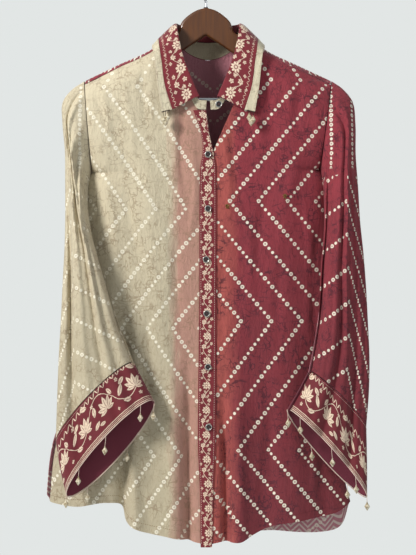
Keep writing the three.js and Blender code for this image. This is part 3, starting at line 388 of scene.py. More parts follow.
def smooth_curve(points: Array, shares: Array) -> Array:
    """Places on a centripetal Catmull-Rom curve, with each span given an equal part of the shares.

    Args:
        points: the points that it goes through.
        shares: places on it, from 0 to 1.

    Returns:
        One point for each share.
    """
    points = np.asarray(points, float)
    ends = np.vstack([2 * points[0] - points[1], points, 2 * points[-1] - points[-2]])
    spans = len(points) - 1
    position = np.clip(shares, 0, 1) * spans
    i = np.minimum(position.astype(int), spans - 1)
    t = (position - i)[:, None]
    p0, p1, p2, p3 = ends[i], ends[i + 1], ends[i + 2], ends[i + 3]
    chords = [np.linalg.norm(b - a, axis=1)[:, None] for a, b in ((p0, p1), (p1, p2), (p2, p3))]
    gap = [np.maximum(np.sqrt(chord), 1e-4) for chord in chords]
    slope_1 = ((p1 - p0) / gap[0] - (p2 - p0) / (gap[0] + gap[1]) + (p2 - p1) / gap[1]) * gap[1]
    slope_2 = ((p2 - p1) / gap[1] - (p3 - p1) / (gap[1] + gap[2]) + (p3 - p2) / gap[2]) * gap[1]
    cubic = 2 * p1 - 2 * p2 + slope_1 + slope_2
    square = -3 * p1 + 3 * p2 - 2 * slope_1 - slope_2
    return ((cubic * t + square) * t + slope_1) * t + p1


@dataclass(frozen=True)
class Armhole:
    """One armhole's line, from the shoulder point down to the underarm."""

    top_x: float
    low_x: float
    low_z: float
    top_z: float = -174

    def x(self, z: Array) -> Array:
        """Its X at a height."""
        return self.top_x + (z - self.top_z) / (self.low_z - self.top_z) * (self.low_x - self.top_x)

    def half_depth(self, z: Array) -> Array:
        """Half the distance between front and back there: an oval, and nothing along the side seam."""
        middle = (self.top_z + self.low_z) / 2
        share = (z - middle) / (self.top_z - middle)
        return np.maximum(ARMHOLE_HALF_DEPTH * np.sqrt(np.maximum(0, 1 - share * share)), SIDE_SEAM_HALF_GAP)


LEFT_ARMHOLE = Armhole(-184, -172, -314)
RIGHT_ARMHOLE = Armhole(190, 171, -310)


def ridge_z(x: Array) -> Array:
    """Height of the shoulder line."""
    return RIDGE.read("x", "z", x)


def side_x(armhole: Armhole, side: Table, z: Array) -> Array:
    """X of the body's edge: the armhole, and below it the side seam."""
    return np.where(z > armhole.low_z, armhole.x(z), side.read("z", "x", z))


def folds_out(folds: Table, x: Array, z: Array) -> Array:
    """How far the long folds push the cloth out."""
    out = np.zeros(np.broadcast(x, z).shape)
    for fold in folds.each():
        share = (z - fold["top_z"]) / (fold["end_z"] - fold["top_z"])
        line = fold["top_x"] + (fold["end_x"] - fold["top_x"]) * np.clip(share, 0, 1.1)
        grow = smoothstep(share, 0, 0.6)
        out += fold["out"] * grow * np.exp(-(((x - line) / fold["width"]) ** 2))
    return out


def creases_out(creases: Table, x: Array, z: Array) -> Array:
    """How far the creases push the cloth out, each fading towards both its ends."""
    out = np.zeros(np.broadcast(x, z).shape)
    for crease in creases.each():
        run = np.array([crease["x1"] - crease["x0"], crease["z1"] - crease["z0"]])
        length = np.linalg.norm(run)
        along = ((x - crease["x0"]) * run[0] + (z - crease["z0"]) * run[1]) / length**2
        bow = 0.05 * length * np.sin(np.pi * along) * np.sign(crease["out"])
        across = ((x - crease["x0"]) * run[1] - (z - crease["z0"]) * run[0]) / length + bow
        fade = smoothstep(along, -0.1, 0.3) * (1 - smoothstep(along, 0.6, 1.1))
        out += crease["out"] * fade * np.exp(-((across / crease["width"]) ** 2))
    return out


def body_points(x: Array, height: Array, is_front: bool, proud: float = 0.0) -> Array:
    """Places on the shirt's body. Above the shoulder line the cloth of the back turns over to the front.

    Args:
        x: places across.
        height: heights, run on past the shoulder line for the stretch that turns over.
        is_front: whether the places are on a front panel.
        proud: how far they stand out from the panel.

    Returns:
        The places, with X, Y and Z last.
    """
    ridge = ridge_z(x)
    turned = (height > ridge) & (not is_front)
    z = np.where(turned, 2 * ridge - height, height)
    front = turned | is_front
    depth = np.where(front, DEPTH.read("z", "front", z), DEPTH.read("z", "back", z))
    full = depth * round_over((ridge - z) / SHOULDER_ROUND, 2)
    from_left = x - side_x(LEFT_ARMHOLE, LEFT_SIDE, z)
    from_right = side_x(RIGHT_ARMHOLE, RIGHT_SIDE, z) - x
    edge = np.where(from_left < from_right, LEFT_ARMHOLE.half_depth(z), RIGHT_ARMHOLE.half_depth(z))
    share = round_over(np.minimum(from_left, from_right) / SIDE_ROUND, SIDE_ROUND_POWER)
    front_folds = folds_out(FRONT_FOLDS, x, z) + creases_out(FRONT_CREASES, x, z) * CREASE_DEPTH
    back_folds = folds_out(BACK_FOLDS, x, z) + creases_out(BACK_CREASES, x, z) * CREASE_DEPTH
    folds = np.where(front, front_folds, back_folds)
    out = edge + (full + folds - edge) * share + proud
    return np.stack([x, np.where(front, -out, out), z], axis=-1)


Edge = Callable[[Array], Array]


def table_curve(table: Table) -> Edge:
    """An edge through a table's x and z, at even spacing along it."""
    points = np.stack([table["x"], table["z"]], axis=1)
    fine = resampled(smooth_curve(points, np.linspace(0, 1, 400)), 400)
    known = np.linspace(0, 1, 400)
    return lambda share: np.stack([np.interp(share, known, fine[:, k]) for k in (0, 1)], axis=-1)


def armhole_edge(armhole: Armhole, from_height: float) -> Edge:
    """A panel's armhole edge, set back a little from the sleeve."""
    inward = -math.copysign(ARMHOLE_HALF_GAP, armhole.top_x)

    def edge(share: Array) -> Array:
        """Places on the edge."""
        height = from_height + (armhole.low_z - from_height) * share
        ridge = float(ridge_z(armhole.top_x))
        z = np.where(height > ridge, 2 * ridge - height, height)
        return np.stack([armhole.x(z) + inward, height], axis=-1)

    return edge


def column_edge(table: Table, column: str, first_z: float, last_z: float, shift: float = 0) -> Edge:
    """An edge that runs down a table's column between two heights."""

    def edge(share: Array) -> Array:
        """Places on the edge."""
        z = first_z + (last_z - first_z) * share
        return np.stack([table.read("z", column, z) + shift, z], axis=-1)

    return edge


def shoulder_edge(from_x: float, to_x: float, above: float) -> Edge:
    """A shoulder seam, at a height above or below the shoulder line."""

    def edge(share: Array) -> Array:
        """Places on the edge."""
        x = from_x + (to_x - from_x) * share
        return np.stack([x, ridge_z(x) + above], axis=-1)

    return edge


def spliced(*parts: tuple[float, Edge]) -> Edge:
    """Joins edges end to end, each with its share of the whole."""

    def edge(share: Array) -> Array:
        """Places on the joined edge."""
        share = np.asarray(share, float)
        place = np.zeros(share.shape + (2,))
        start = 0.0
        for index, (length, part) in enumerate(parts):
            last = index == len(parts) - 1
            inside = (share >= start) & (last | (share < start + length))
            place[inside] = part((share[inside] - start) / length)
            start += length
        return place

    return edge


def patch(top: Edge, bottom: Edge, left: Edge, right: Edge, columns: Array, rows: Array) -> Array:
    """A grid of places between four edges that share their corners (a Coons patch)."""
    u = columns[None, :, None]
    v = rows[:, None, None]
    corner = [edge(np.array([end]))[0] for edge in (top, bottom) for end in (0.0, 1.0)]
    ruled = top(columns)[None] * (1 - v) + bottom(columns)[None] * v
    ruled = ruled + left(rows)[:, None] * (1 - u) + right(rows)[:, None] * u
    flat = corner[0] * (1 - u) * (1 - v) + corner[1] * u * (1 - v)
    flat = flat + corner[2] * (1 - u) * v + corner[3] * u * v
    return ruled - flat


class Sheet:
    """A cloth surface as a grid of places, with the print's line and dot numbers at each."""

    def __init__(self, places: Array, closed: bool = False) -> None:
        """Keeps the grid.

        Args:
            places: rows by columns by X, Y and Z, in millimetres.
            closed: whether the last column joins the first.
        """
        self.places = places
        self.closed = closed
        self.maps: dict[str, Array] = {}
        self.values: dict[str, Array] = {}

    def wrapped(self) -> Array:
        """The grid, with its first column again at the end where it is closed."""
        return np.concatenate([self.places, self.places[:, :1]], axis=1) if self.closed else self.places

    def steps(self, field_values: Array) -> tuple[Array, Array]:
        """How a field changes down the rows and over the columns, round a closed grid's join too."""
        down = np.gradient(field_values, axis=0)
        if not self.closed:
            return down, np.gradient(field_values, axis=1)
        over = (np.roll(field_values, -1, axis=1) - np.roll(field_values, 1, axis=1)) / 2
        return down, over

    def normals(self) -> Array:
        """The unit normal at each place."""
        down, over = self.steps(self.places)
        normal = np.cross(over, down)
        return normal / np.maximum(np.linalg.norm(normal, axis=-1, keepdims=True), 1e-9)

    def faces_out(self) -> bool:
        """Whether the normals point away from the arm, or from the wearer's middle."""
        heart = self.places.mean(axis=1, keepdims=True) if self.closed else np.array([SHIRT_X, 0, 0])
        away = (self.places - heart) * np.array([1, 1, 1 if self.closed else 0])
        return float((away * self.normals()).sum()) > 0

    def set_print(self, lines: Array, dots: Array) -> None:
        """Stores the print's map, and the metric that turns its numbers back into millimetres on the cloth.

        Args:
            lines: the line number at each place, whole on a line.
            dots: the dot number along the lines, whole on a dot.
        """
        down, over = self.inner_steps(self.wrapped())
        lines_down, lines_over = self.inner_steps(lines)
        dots_down, dots_over = self.inner_steps(dots)
        turn = lines_down * dots_over - lines_over * dots_down
        turn = np.where(np.abs(turn) < 1e-7, 1e-7, turn)[..., None]
        per_line = (down * dots_over[..., None] - over * dots_down[..., None]) / turn
        per_dot = (over * lines_down[..., None] - down * lines_over[..., None]) / turn
        metric = [(per_line**2).sum(-1), (per_line * per_dot).sum(-1), (per_dot**2).sum(-1)]
        self.maps["print"] = np.stack([lines, dots], axis=-1)
        columns = self.places.shape[1]
        self.values["metric"] = np.clip(np.stack(metric, axis=-1), -4000, 4000)[:, :columns]

    @staticmethod
    def inner_steps(field_values: Array) -> tuple[Array, Array]:
        """How a field changes over an open grid."""
        return np.gradient(field_values, axis=0), np.gradient(field_values, axis=1)

    def build(self, name: str, thickness: float = CLOTH) -> Thing:
        """Makes a wall of even thickness over the grid, as an object.

        Args:
            name: the piece's name.
            thickness: the cloth's, in millimetres.

        Returns:
            The new object, in metres, with its maps and values on it.
        """
        rows, columns = self.places.shape[:2]
        normal = self.normals()
        skins = [self.places + normal * side * thickness / 2 for side in (1, -1)]
        points = np.concatenate([skin.reshape(-1, 3) for skin in skins]) * MM
        index = np.arange(rows * columns).reshape(rows, columns)
        if self.closed:
            index = np.concatenate([index, index[:, :1]], axis=1)
        faces = self.wall_faces(index, rows * columns)
        mesh = bpy.data.meshes.new(name)
        mesh.from_pydata(points.tolist(), [], faces.tolist())
        self.lay_maps(mesh)
        thing = placed_object(name, mesh)
        if self.volume(points, faces) < 0:
            mesh.flip_normals()
        mesh.shade_smooth()
        mesh.set_sharp_from_angle(angle=math.radians(60))
        return thing

    def wall_faces(self, index: Array, inner: int) -> Array:
        """Faces of both skins and of the rims between them.

        Args:
            index: the number of the outer skin's point at each place of the wrapped grid.
            inner: what is added for the inner skin's point.
        """
        around = [index[:-1, :-1], index[1:, :-1], index[1:, 1:], index[:-1, 1:]]
        quads = np.stack(around, axis=-1).reshape(-1, 4)
        rims = [self.rim(index[0], inner), self.rim(index[-1][::-1], inner)]
        if not self.closed:
            rims += [self.rim(index[:, 0][::-1], inner), self.rim(index[:, -1], inner)]
        return np.concatenate([quads, quads[:, ::-1] + inner, *rims])

    @staticmethod
    def rim(edge: Array, inner: int) -> Array:
        """Faces that close the wall along one edge of the grid."""
        return np.stack([edge[:-1], edge[1:], edge[1:] + inner, edge[:-1] + inner], axis=-1)

    @staticmethod
    def volume(points: Array, faces: Array) -> float:
        """Signed volume inside the faces, positive where they point out."""
        a, b, c, d = (points[faces[:, k]] for k in range(4))
        return float((a * np.cross(b, c)).sum() + (a * np.cross(c, d)).sum())

    def lay_maps(self, mesh: bpy.types.Mesh) -> None:
        """Writes each map as a UV map and each value as an attribute of the points."""
        rows, columns = self.places.shape[:2]
        total = rows * columns
        wide = columns + 1 if self.closed else columns
        places = np.arange(rows * wide).reshape(rows, wide)
        corner = self.wall_faces(places, rows * wide).reshape(-1) % (rows * wide)
        for name, values in self.maps.items():
            flat = values.reshape(-1, 2)[corner].astype(np.float32)
            mesh.uv_layers.new(name=name).data.foreach_set("uv", flat.reshape(-1))
        side = np.repeat([1.0, 0.0] if self.faces_out() else [0.0, 1.0], total)
        self.attribute(mesh, "outside", "FLOAT", side)
        for name, values in self.values.items():
            kind = "FLOAT" if values.ndim == 2 else "FLOAT_VECTOR"
            flat = values.reshape(total, -1)
            self.attribute(mesh, name, kind, np.concatenate([flat, flat]))

    @staticmethod
    def attribute(mesh: bpy.types.Mesh, name: str, kind: str, values: Array) -> None:
        """Adds one attribute of the points."""
        made = mesh.attributes.new(name, kind, "POINT")
        key = "value" if kind == "FLOAT" else "vector"
        made.data.foreach_set(key, values.astype(np.float32).reshape(-1))


def zigzag(phase: Array) -> Array:
    """A triangle wave: 0 at even whole numbers and 1 at odd ones."""
    return 1 - np.abs(phase - 2 * np.floor(phase / 2) - 1)


def front_print(sheet: Sheet, chevrons: Table) -> None:
    """Lays the rows of chevrons over a front panel.

    Args:
        sheet: the panel.
        chevrons: its table of corner rows.
    """
    column = Photo.pixel_x(sheet.places[..., 0])
    row = Photo.pixel_y(sheet.places[..., 2])
    phase = chevrons.line("y", "phase", row)
    start = chevrons.line("y", "start", row)
    step = chevrons.line("y", "step", row)
    lines = (column - start) / step - CHEVRON_REACH * zigzag(phase)
    sheet.set_print(lines, phase * DOTS_ON_SIDE)


Number = "float | Value"


class Value:
    """A number that changes over a surface: one socket of a node tree, with arithmetic."""

    def __init__(self, tree: Tree, socket: Socket) -> None:
        """Wraps a socket of a tree."""
        self.tree = tree
        self.socket = socket

    def math(self, operation: str, *others: Number) -> "Value":
        """Feeds this number, and others, through a Math node."""
        node = self.tree.nodes.new("ShaderNodeMath")
        node.operation = operation
        for slot, value in zip(node.inputs, (self, *others)):
            feed(self.tree, value, slot)
        return Value(self.tree, node.outputs[0])

    def __add__(self, other: Number) -> "Value":
        """Sum."""
        return self.math("ADD", other)

    __radd__ = __add__

    def __sub__(self, other: Number) -> "Value":
        """Difference."""
        return self.math("SUBTRACT", other)

    def __rsub__(self, other: Number) -> "Value":
        """Difference, the other way round."""
        return self.math("MULTIPLY", -1.0).math("ADD", other)

    def __mul__(self, other: Number) -> "Value":
        """Product."""
        return self.math("MULTIPLY", other)

    __rmul__ = __mul__

    def __truediv__(self, other: Number) -> "Value":
        """Quotient."""
        return self.math("DIVIDE", other)

    def abs(self) -> "Value":
        """Size without sign."""
        return self.math("ABSOLUTE")

    def sqrt(self) -> "Value":
        """Square root."""
        return self.math("SQRT")

    def sin(self) -> "Value":
        """Sine, of radians."""
        return self.math("SINE")

    def cos(self) -> "Value":
        """Cosine, of radians."""
        return self.math("COSINE")

    def fold(self, period: float) -> "Value":
        """Place within a repeat, from 0 to the period."""
        return self.math("FLOORED_MODULO", period)

    def clamp(self) -> "Value":
        """Held between 0 and 1."""
        return self.math("MINIMUM", 1.0).math("MAXIMUM", 0.0)

    def most(self, other: Number) -> "Value":
        """The larger of two."""
        return self.math("MAXIMUM", other)

    def below(self, limit: Number, soft: float = 0.3) -> "Value":
        """1 where it is below a limit and 0 above, with a soft step."""
        if isinstance(limit, Value):
            return ((limit - self) / soft + 0.5).clamp()
        return (self * (-1 / soft) + (limit / soft + 0.5)).clamp()


def feed(tree: Tree, value: "float | Value | Socket | tuple", slot: Socket) -> None:
    """Links a value or socket to an input, or sets a constant on it."""
    if isinstance(value, Value):
        tree.links.new(value.socket, slot)
    elif isinstance(value, Socket):
        tree.links.new(value, slot)
    else:
        slot.default_value = value


class Kind(Enum):
    """What a socket of a group carries."""

    NUMBER = "NodeSocketFloat"
    VECTOR = "NodeSocketVector"


class Group:
    """A shader node group with named inputs and outputs, built once."""

    def __init__(self, name: str, inputs: dict[str, tuple[Kind, object]], outputs: dict[str, Kind]) -> None:
        """Makes the group and its sockets.

        Args:
            name: the group's name.
            inputs: kind and starting value of each input.
            outputs: kind of each output.
        """
        self.tree = bpy.data.node_groups.new(name, "ShaderNodeTree")
        for key, (kind, start) in inputs.items():
            self.tree.interface.new_socket(key, in_out="INPUT", socket_type=kind.value).default_value = start
        for key, kind in outputs.items():
            self.tree.interface.new_socket(key, in_out="OUTPUT", socket_type=kind.value)
        self.way_in = self.tree.nodes.new("NodeGroupInput")
        self.way_out = self.tree.nodes.new("NodeGroupOutput")

    def given(self, name: str) -> Value:
        """One input, as a value."""
        return Value(self.tree, self.way_in.outputs[name])

    def give(self, name: str, value: "Value | Socket") -> None:
        """Sends a value out."""
        feed(self.tree, value, self.way_out.inputs[name])

    def placed(self, tree: Tree, **values: object) -> Node:
        """Places the group in a tree with its own values."""
        node = tree.nodes.new("ShaderNodeGroup")
        node.node_tree = self.tree
        for key, value in values.items():
            feed(tree, value, node.inputs[key.replace("_", " ")])
        return node


def object_place(tree: Tree) -> Socket:
    """Object coordinates."""
    return tree.nodes.new("ShaderNodeTexCoord").outputs["Object"]


def noise(tree: Tree, vector: Socket, scale: float, detail: float = 3.0) -> Value:
    """Smooth noise over a surface."""
    node = tree.nodes.new("ShaderNodeTexNoise")
    node.inputs["Scale"].default_value = scale
    node.inputs["Detail"].default_value = detail
    tree.links.new(vector, node.inputs["Vector"])
    return Value(tree, node.outputs["Fac"])


def stretched(tree: Tree, vector: Socket, scale: Triple) -> Socket:
    """A vector stretched along its axes."""
    node = tree.nodes.new("ShaderNodeMapping")
    node.inputs["Scale"].default_value = scale
    tree.links.new(vector, node.inputs["Vector"])
    return node.outputs[0]


def mixed(tree: Tree, share: Number, low: object, high: object) -> Socket:
    """A mix of two colours."""
    node = tree.nodes.new("ShaderNodeMix")
    node.data_type = "RGBA"
    colours = [slot for slot in node.inputs if slot.type == "RGBA"]
    feed(tree, share, node.inputs[0])
    feed(tree, low, colours[0])
    feed(tree, high, colours[1])
    return next(slot for slot in node.outputs if slot.type == "RGBA")


def srgb(red: int, green: int, blue: int) -> Colour:
    """A colour from its display values, as linear light."""
    parts = [channel / 255 for channel in (red, green, blue)]
    linear = [part / 12.92 if part <= 0.04045 else ((part + 0.055) / 1.055) ** 2.4 for part in parts]
    return (*linear, 1.0)


# Shared cloth effects: lengths of the weave in metres, dot radii in millimetres, and noise scales
THREAD_PITCH = 0.0007
WRINKLE_SCALE = 95
SLUB_SCALE = 330
DASH_SCALE = 420
RING_RADIUS = 3.1
DOT_RADIUS = 2.1
BIG_DOT_SHARE = 0.82


def weave_group() -> Group:
    """Fine plain weave with slubs and a soft crinkle, as a height, and painted shade in its crinkles."""
    inputs = {"Thread": (Kind.NUMBER, THREAD_PITCH), "Crinkle": (Kind.NUMBER, 1.0)}
    group = Group("plain weave", inputs, {"Height": Kind.NUMBER, "Painted crinkle shade": Kind.NUMBER})
    tree = group.tree
    place = object_place(tree)
    x, _, z = split_xyz(tree, place)
    turn = group.given("Thread").math("POWER", -1.0) * (2 * math.pi)
    threads = (x * turn).sin() * (z * turn).sin()
    wrinkle = noise(tree, stretched(tree, place, (1.0, 1.0, 0.42)), WRINKLE_SCALE, 4)
    fine = noise(tree, stretched(tree, place, (1.0, 1.0, 0.6)), SLUB_SCALE, 2)
    ridge = (wrinkle - 0.5).abs() * -2.0
    dash = noise(tree, stretched(tree, place, (1.0, 1.0, 0.3)), DASH_SCALE, 3)
    # Painted shade: darkness along the crinkle lines and in fine dashes, for mixing into the cloth's colour
    group.give("Painted crinkle shade", ((wrinkle - 0.5).abs().below(0.016, 0.03) * 0.55 + (dash - 0.52) * 2.4).clamp())
    group.give("Height", threads * 0.10 + (ridge * 1.1 + fine * 0.5) * group.given("Crinkle"))
    return group


def dot_group() -> Group:
    """Tie-dyed dots in rows: rings with a dark centre, and smaller dots between them."""
    inputs = {name: (Kind.VECTOR, (0, 0, 0)) for name in ("Map", "Metric")}
    inputs |= {"Ring": (Kind.NUMBER, RING_RADIUS), "Dot": (Kind.NUMBER, DOT_RADIUS)}
    group = Group("tied dots", inputs, {"Dots": Kind.NUMBER, "Cores": Kind.NUMBER})
    tree = group.tree
    line, dot = split_xyz(tree, group.way_in.outputs["Map"])[:2]
    square, shear, length = split_xyz(tree, group.way_in.outputs["Metric"])
    whole = [number.math("ROUND") for number in (line, dot)]
    off_line, off_dot = line - whole[0], dot - whole[1]
    chance = tree.nodes.new("ShaderNodeTexWhiteNoise")
    tree.links.new(joined_xyz(tree, *whole), chance.inputs["Vector"])
    luck = Value(tree, chance.outputs["Value"])
    apart = square * off_line * off_line + shear * off_line * off_dot * 2.0 + length * off_dot * off_dot
    apart = apart.most(0.0).sqrt()
    odd = (whole[1] * 0.5).math("FRACT") * 2.0
    ring = (odd * 0.55 + luck).math("LESS_THAN", BIG_DOT_SHARE)
    reach = ring * (group.given("Ring") - group.given("Dot")) + group.given("Dot") + (luck - 0.5) * 0.5
    group.give("Dots", apart.below(reach, 0.8))
    group.give("Cores", (apart - 0.9).abs().below(0.5, 0.5) * ring)
    return group


def split_xyz(tree: Tree, vector: Socket) -> tuple[Value, Value, Value]:
    """The three numbers of a vector."""
    node = tree.nodes.new("ShaderNodeSeparateXYZ")
    tree.links.new(vector, node.inputs[0])
    return tuple(Value(tree, socket) for socket in node.outputs)


def joined_xyz(tree: Tree, *numbers: Number) -> Socket:
    """A vector of up to three numbers."""
    node = tree.nodes.new("ShaderNodeCombineXYZ")
    for slot, number in zip(node.inputs, numbers):
        feed(tree, number, slot)
    return node.outputs[0]


def bloom_group() -> Group:
    """A round block-printed flower, in millimetres from its centre."""
    starts = {"U": 0.0, "V": 0.0, "Radius": 5.0, "Petals": 8.0}
    inputs = {name: (Kind.NUMBER, start) for name, start in starts.items()}
    group = Group("block printed flower", inputs, {"Flower": Kind.NUMBER})
    u, v, radius = group.given("U"), group.given("V"), group.given("Radius")
    away = (u * u + v * v).sqrt()
    petal = (v.math("ARCTAN2", u) * group.given("Petals") * 0.5).cos().abs()
    edge = radius * (petal.math("POWER", 0.7) * 0.62 + 0.38)
    ring = (away / radius - 0.32).abs().below(0.07, 0.1)
    group.give("Flower", (away.below(edge, 0.7) - ring).clamp())
    return group


def leaf_group() -> Group:
    """A pointed petal or leaf with a vein, in millimetres from its foot."""
    inputs = {"U": (Kind.NUMBER, 0.0), "V": (Kind.NUMBER, 0.0), "Turn": (Kind.NUMBER, 0.0)}
    inputs |= {"Length": (Kind.NUMBER, 8.0), "Width": (Kind.NUMBER, 3.0), "Vein": (Kind.NUMBER, 0.5)}
    group = Group("block printed leaf", inputs, {"Leaf": Kind.NUMBER})
    u, v, turn = group.given("U"), group.given("V"), group.given("Turn")
    along = (u * turn.cos() + v * turn.sin()) / group.given("Length") * 2.0 - 1.0
    across = (v * turn.cos() - u * turn.sin()).abs()
    edge = (1.0 - along * along) * group.given("Width") * 0.5
    vein = across.below(group.given("Vein") * 0.5, 0.4) * along.below(0.55, 0.2)
    group.give("Leaf", (across.below(edge, 0.6) - vein).clamp() * along.abs().below(1.05, 0.1))
    return group


# Motifs of one repeat of each printed strip: place along and across it, and size, in millimetres
PLACKET_REPEAT = 33
PLACKET_BLOOMS = Table(
    "u v radius petals",
    (7, 11, 5.4, 8), (21, 7, 3.4, 6), (27, 15, 2.6, 5), (17, 17, 2.2, 5), (30, 5, 1.6, 4),
    (13, 3, 1.8, 4),
)
PLACKET_LEAVES = Table(
    "u v turn length width",
    (13, 8, 30, 6, 2.4), (24, 11, 140, 6, 2.4), (31, 12, 60, 5, 2),
)
COLLAR_REPEAT = 30
COLLAR_BLOOMS = Table(
    "u v radius petals",
    (8, 22, 6.6, 9), (22, 14, 3.4, 6), (25, 25, 3.0, 5), (15, 10, 2.0, 4), (1, 12, 2.2, 5),
    (16, 29, 2.0, 4), (28, 5, 1.6, 4),
)
COLLAR_LEAVES = Table(
    "u v turn length width",
    (15, 18, 60, 7, 2.6), (20, 21, 150, 6, 2.4), (28, 17, 30, 6, 2.4),
)
CUFF_REPEAT = 84
CUFF_BLOOMS = Table(
    "u v radius petals",
    (41, 43, 2.8, 5), (63, 13, 2.4, 5), (80, 40, 2.4, 5), (30, 12, 2.0, 4),
)
CUFF_LEAVES = Table(
    "u v turn length width",
    (36, 24, 50, 15, 6.0), (52, 40, 200, 11, 5.5), (28, 33, 120, 11, 5), (72, 45, 160, 13, 6),
    (80, 26, 80, 12, 5.5), (50, 12, 160, 11, 5), (75, 13, 30, 11, 5), (8, 12, 170, 9, 4),
)
LOTUS_FEET = Table("u v turn", (15, 22, 95), (60, 22, 80))
LOTUS_PETALS = Table(
    "turn length width",
    (0, 17, 5.5), (30, 16, 5.2), (-30, 16, 5.2), (60, 14, 5), (-60, 14, 5), (92, 11, 4), (-92, 11, 4),
)


class Strip(Enum):
    """Which printed strip a finish is for."""

    PLACKET = "placket"
    COLLAR = "collar"
    CUFF = "cuff"


class StripPrint:
    """Charts the flowers, leaves and lines of a printed strip in a material's tree."""

    def __init__(self, tree: Tree, prints: "Prints", along: Value, across: Value) -> None:
        """Starts an empty print.

        Args:
            tree: the material's tree.
            prints: the shared groups.
            along: millimetres along the strip.
            across: millimetres across it, from its free edge.
        """
        self.tree, self.prints = tree, prints
        self.along, self.across = along, across
        self.mask: Value | None = None

    def add(self, mask: Value) -> None:
        """Adds one motif to the print."""
        self.mask = mask if self.mask is None else self.mask.most(mask)

    def local(self, u: float, v: float, repeat: float) -> tuple[Value, Value]:
        """Place along and across, counted from a motif's centre in each repeat."""
        half = repeat / 2
        return (self.along - (u - half)).fold(repeat) - half, self.across - v

    def blooms(self, table: Table, repeat: float) -> None:
        """Adds a table of flowers."""
        for row in table.each():
            u, v = self.local(row["u"], row["v"], repeat)
            node = self.prints.bloom.placed(self.tree, U=u, V=v, Radius=row["radius"], Petals=row["petals"])
            self.add(Value(self.tree, node.outputs[0]))

    def leaf(
        self, foot: tuple[float, float], turn: float, length: float, width: float, repeat: float
    ) -> None:
        """Adds a leaf that grows from its foot."""
        u, v = self.local(*foot, repeat)
        turn = math.radians(turn)
        node = self.prints.leaf.placed(self.tree, U=u, V=v, Turn=turn, Length=length, Width=width)
        self.add(Value(self.tree, node.outputs[0]))

    def leaves(self, table: Table, repeat: float) -> None:
        """Adds a table of leaves."""
        for row in table.each():
            self.leaf((row["u"], row["v"]), row["turn"], row["length"], row["width"], repeat)

    def vine(self, middle: float, swing: float, repeat: float, width: float, shift: float = 0.0) -> None:
        """Adds a waving stem."""
        line = (self.along * (2 * math.pi / repeat) + shift).sin() * swing + middle
        self.add((self.across - line).abs().below(width / 2, 0.5))

    def zigzag(self, middle: float, height: float, pitch: float, width: float) -> None:
        """Adds a zigzag line."""
        line = ((self.along / pitch).fold(1.0) - 0.5).abs() * (2 * height) + (middle - height / 2)
        along_leaf = ((self.along / pitch * 2.0).fold(1.0) - 0.5) * 2.0
        half = (1.0 - along_leaf * along_leaf) * (width / 2)
        self.add((self.across - line).abs().below(half, 0.4))

    def stripe(self, middle: float, width: float) -> None:
        """Adds a straight line."""
        self.add((self.across - middle).abs().below(width / 2, 0.4))


def chart_strip(chart: StripPrint, strip: Strip) -> Value:
    """Charts one of the printed strips.

    Args:
        chart: the empty print.
        strip: which strip it is.

    Returns:
        The print's mask.
    """
    if strip is Strip.PLACKET:
        chart.blooms(PLACKET_BLOOMS, PLACKET_REPEAT)
        chart.leaves(PLACKET_LEAVES, PLACKET_REPEAT)
        chart.vine(11, 5, PLACKET_REPEAT, 0.9)
    elif strip is Strip.COLLAR:
        chart.blooms(COLLAR_BLOOMS, COLLAR_REPEAT)
        chart.leaves(COLLAR_LEAVES, COLLAR_REPEAT)
        chart.vine(19, 7, COLLAR_REPEAT, 0.9)
        chart.zigzag(5, 3.4, 5, 0.9)
    else:
        chart.blooms(CUFF_BLOOMS, CUFF_REPEAT)
        chart.leaves(CUFF_LEAVES, CUFF_REPEAT)
        for foot in LOTUS_FEET.each():
            for petal in LOTUS_PETALS.each():
                turn = foot["turn"] + petal["turn"]
                chart.leaf((foot["u"], foot["v"]), turn, petal["length"], petal["width"], CUFF_REPEAT)
        chart.vine(30, 15, CUFF_REPEAT, 1.0, 1.1)
        chart.zigzag(49.5, 6.5, 9, 2.6)
        for middle, width in ((1.0, 0.9), (3.0, 0.5), (5.0, 0.9)):
            chart.stripe(middle, width)
    return chart.mask


@dataclass
class Prints:
    """The shader groups that the cloth finishes share."""

    weave: Group = field(default_factory=weave_group)
    dots: Group = field(default_factory=dot_group)
    bloom: Group = field(default_factory=bloom_group)
    leaf: Group = field(default_factory=leaf_group)


@dataclass(frozen=True)
class Finish:
    """A plain material's name and look."""

    name: str
    colour: Colour
    roughness: float = 0.8
    metallic: float = 0.0

    def start(self) -> tuple[Material, Tree, Node]:
        """A new material with its own look set on the shader.

        Returns:
            The material, its tree and its Principled shader.
        """
        material = bpy.data.materials.new(self.name)
        material.use_nodes = True
        tree = material.node_tree
        shader = tree.nodes["Principled BSDF"]
        shader.inputs["Base Color"].default_value = self.colour
        shader.inputs["Roughness"].default_value = self.roughness
        shader.inputs["Metallic"].default_value = self.metallic
        return material, tree, shader


def bump(tree: Tree, shader: Node, height: "Value | Socket", distance: float, strength: float) -> None:
    """Feeds a height through a Bump node to a shader's normal."""
    node = tree.nodes.new("ShaderNodeBump")
    node.inputs["Distance"].default_value = distance
    node.inputs["Strength"].default_value = strength
    feed(tree, height, node.inputs["Height"])
    tree.links.new(node.outputs[0], shader.inputs["Normal"])


def uv_map(tree: Tree, name: str) -> Socket:
    """A UV map of the piece, by name."""
    node = tree.nodes.new("ShaderNodeUVMap")
    node.uv_map = name
    return node.outputs[0]


def attribute(tree: Tree, name: str, output: str = "Fac") -> Socket:
    """An attribute of the piece, by name."""
    node = tree.nodes.new("ShaderNodeAttribute")
    node.attribute_name = name
    return node.outputs[output]


BORDER_ZIGZAG = 26
BORDER_PITCH = 8.5
BORDER_HEIGHT = 46


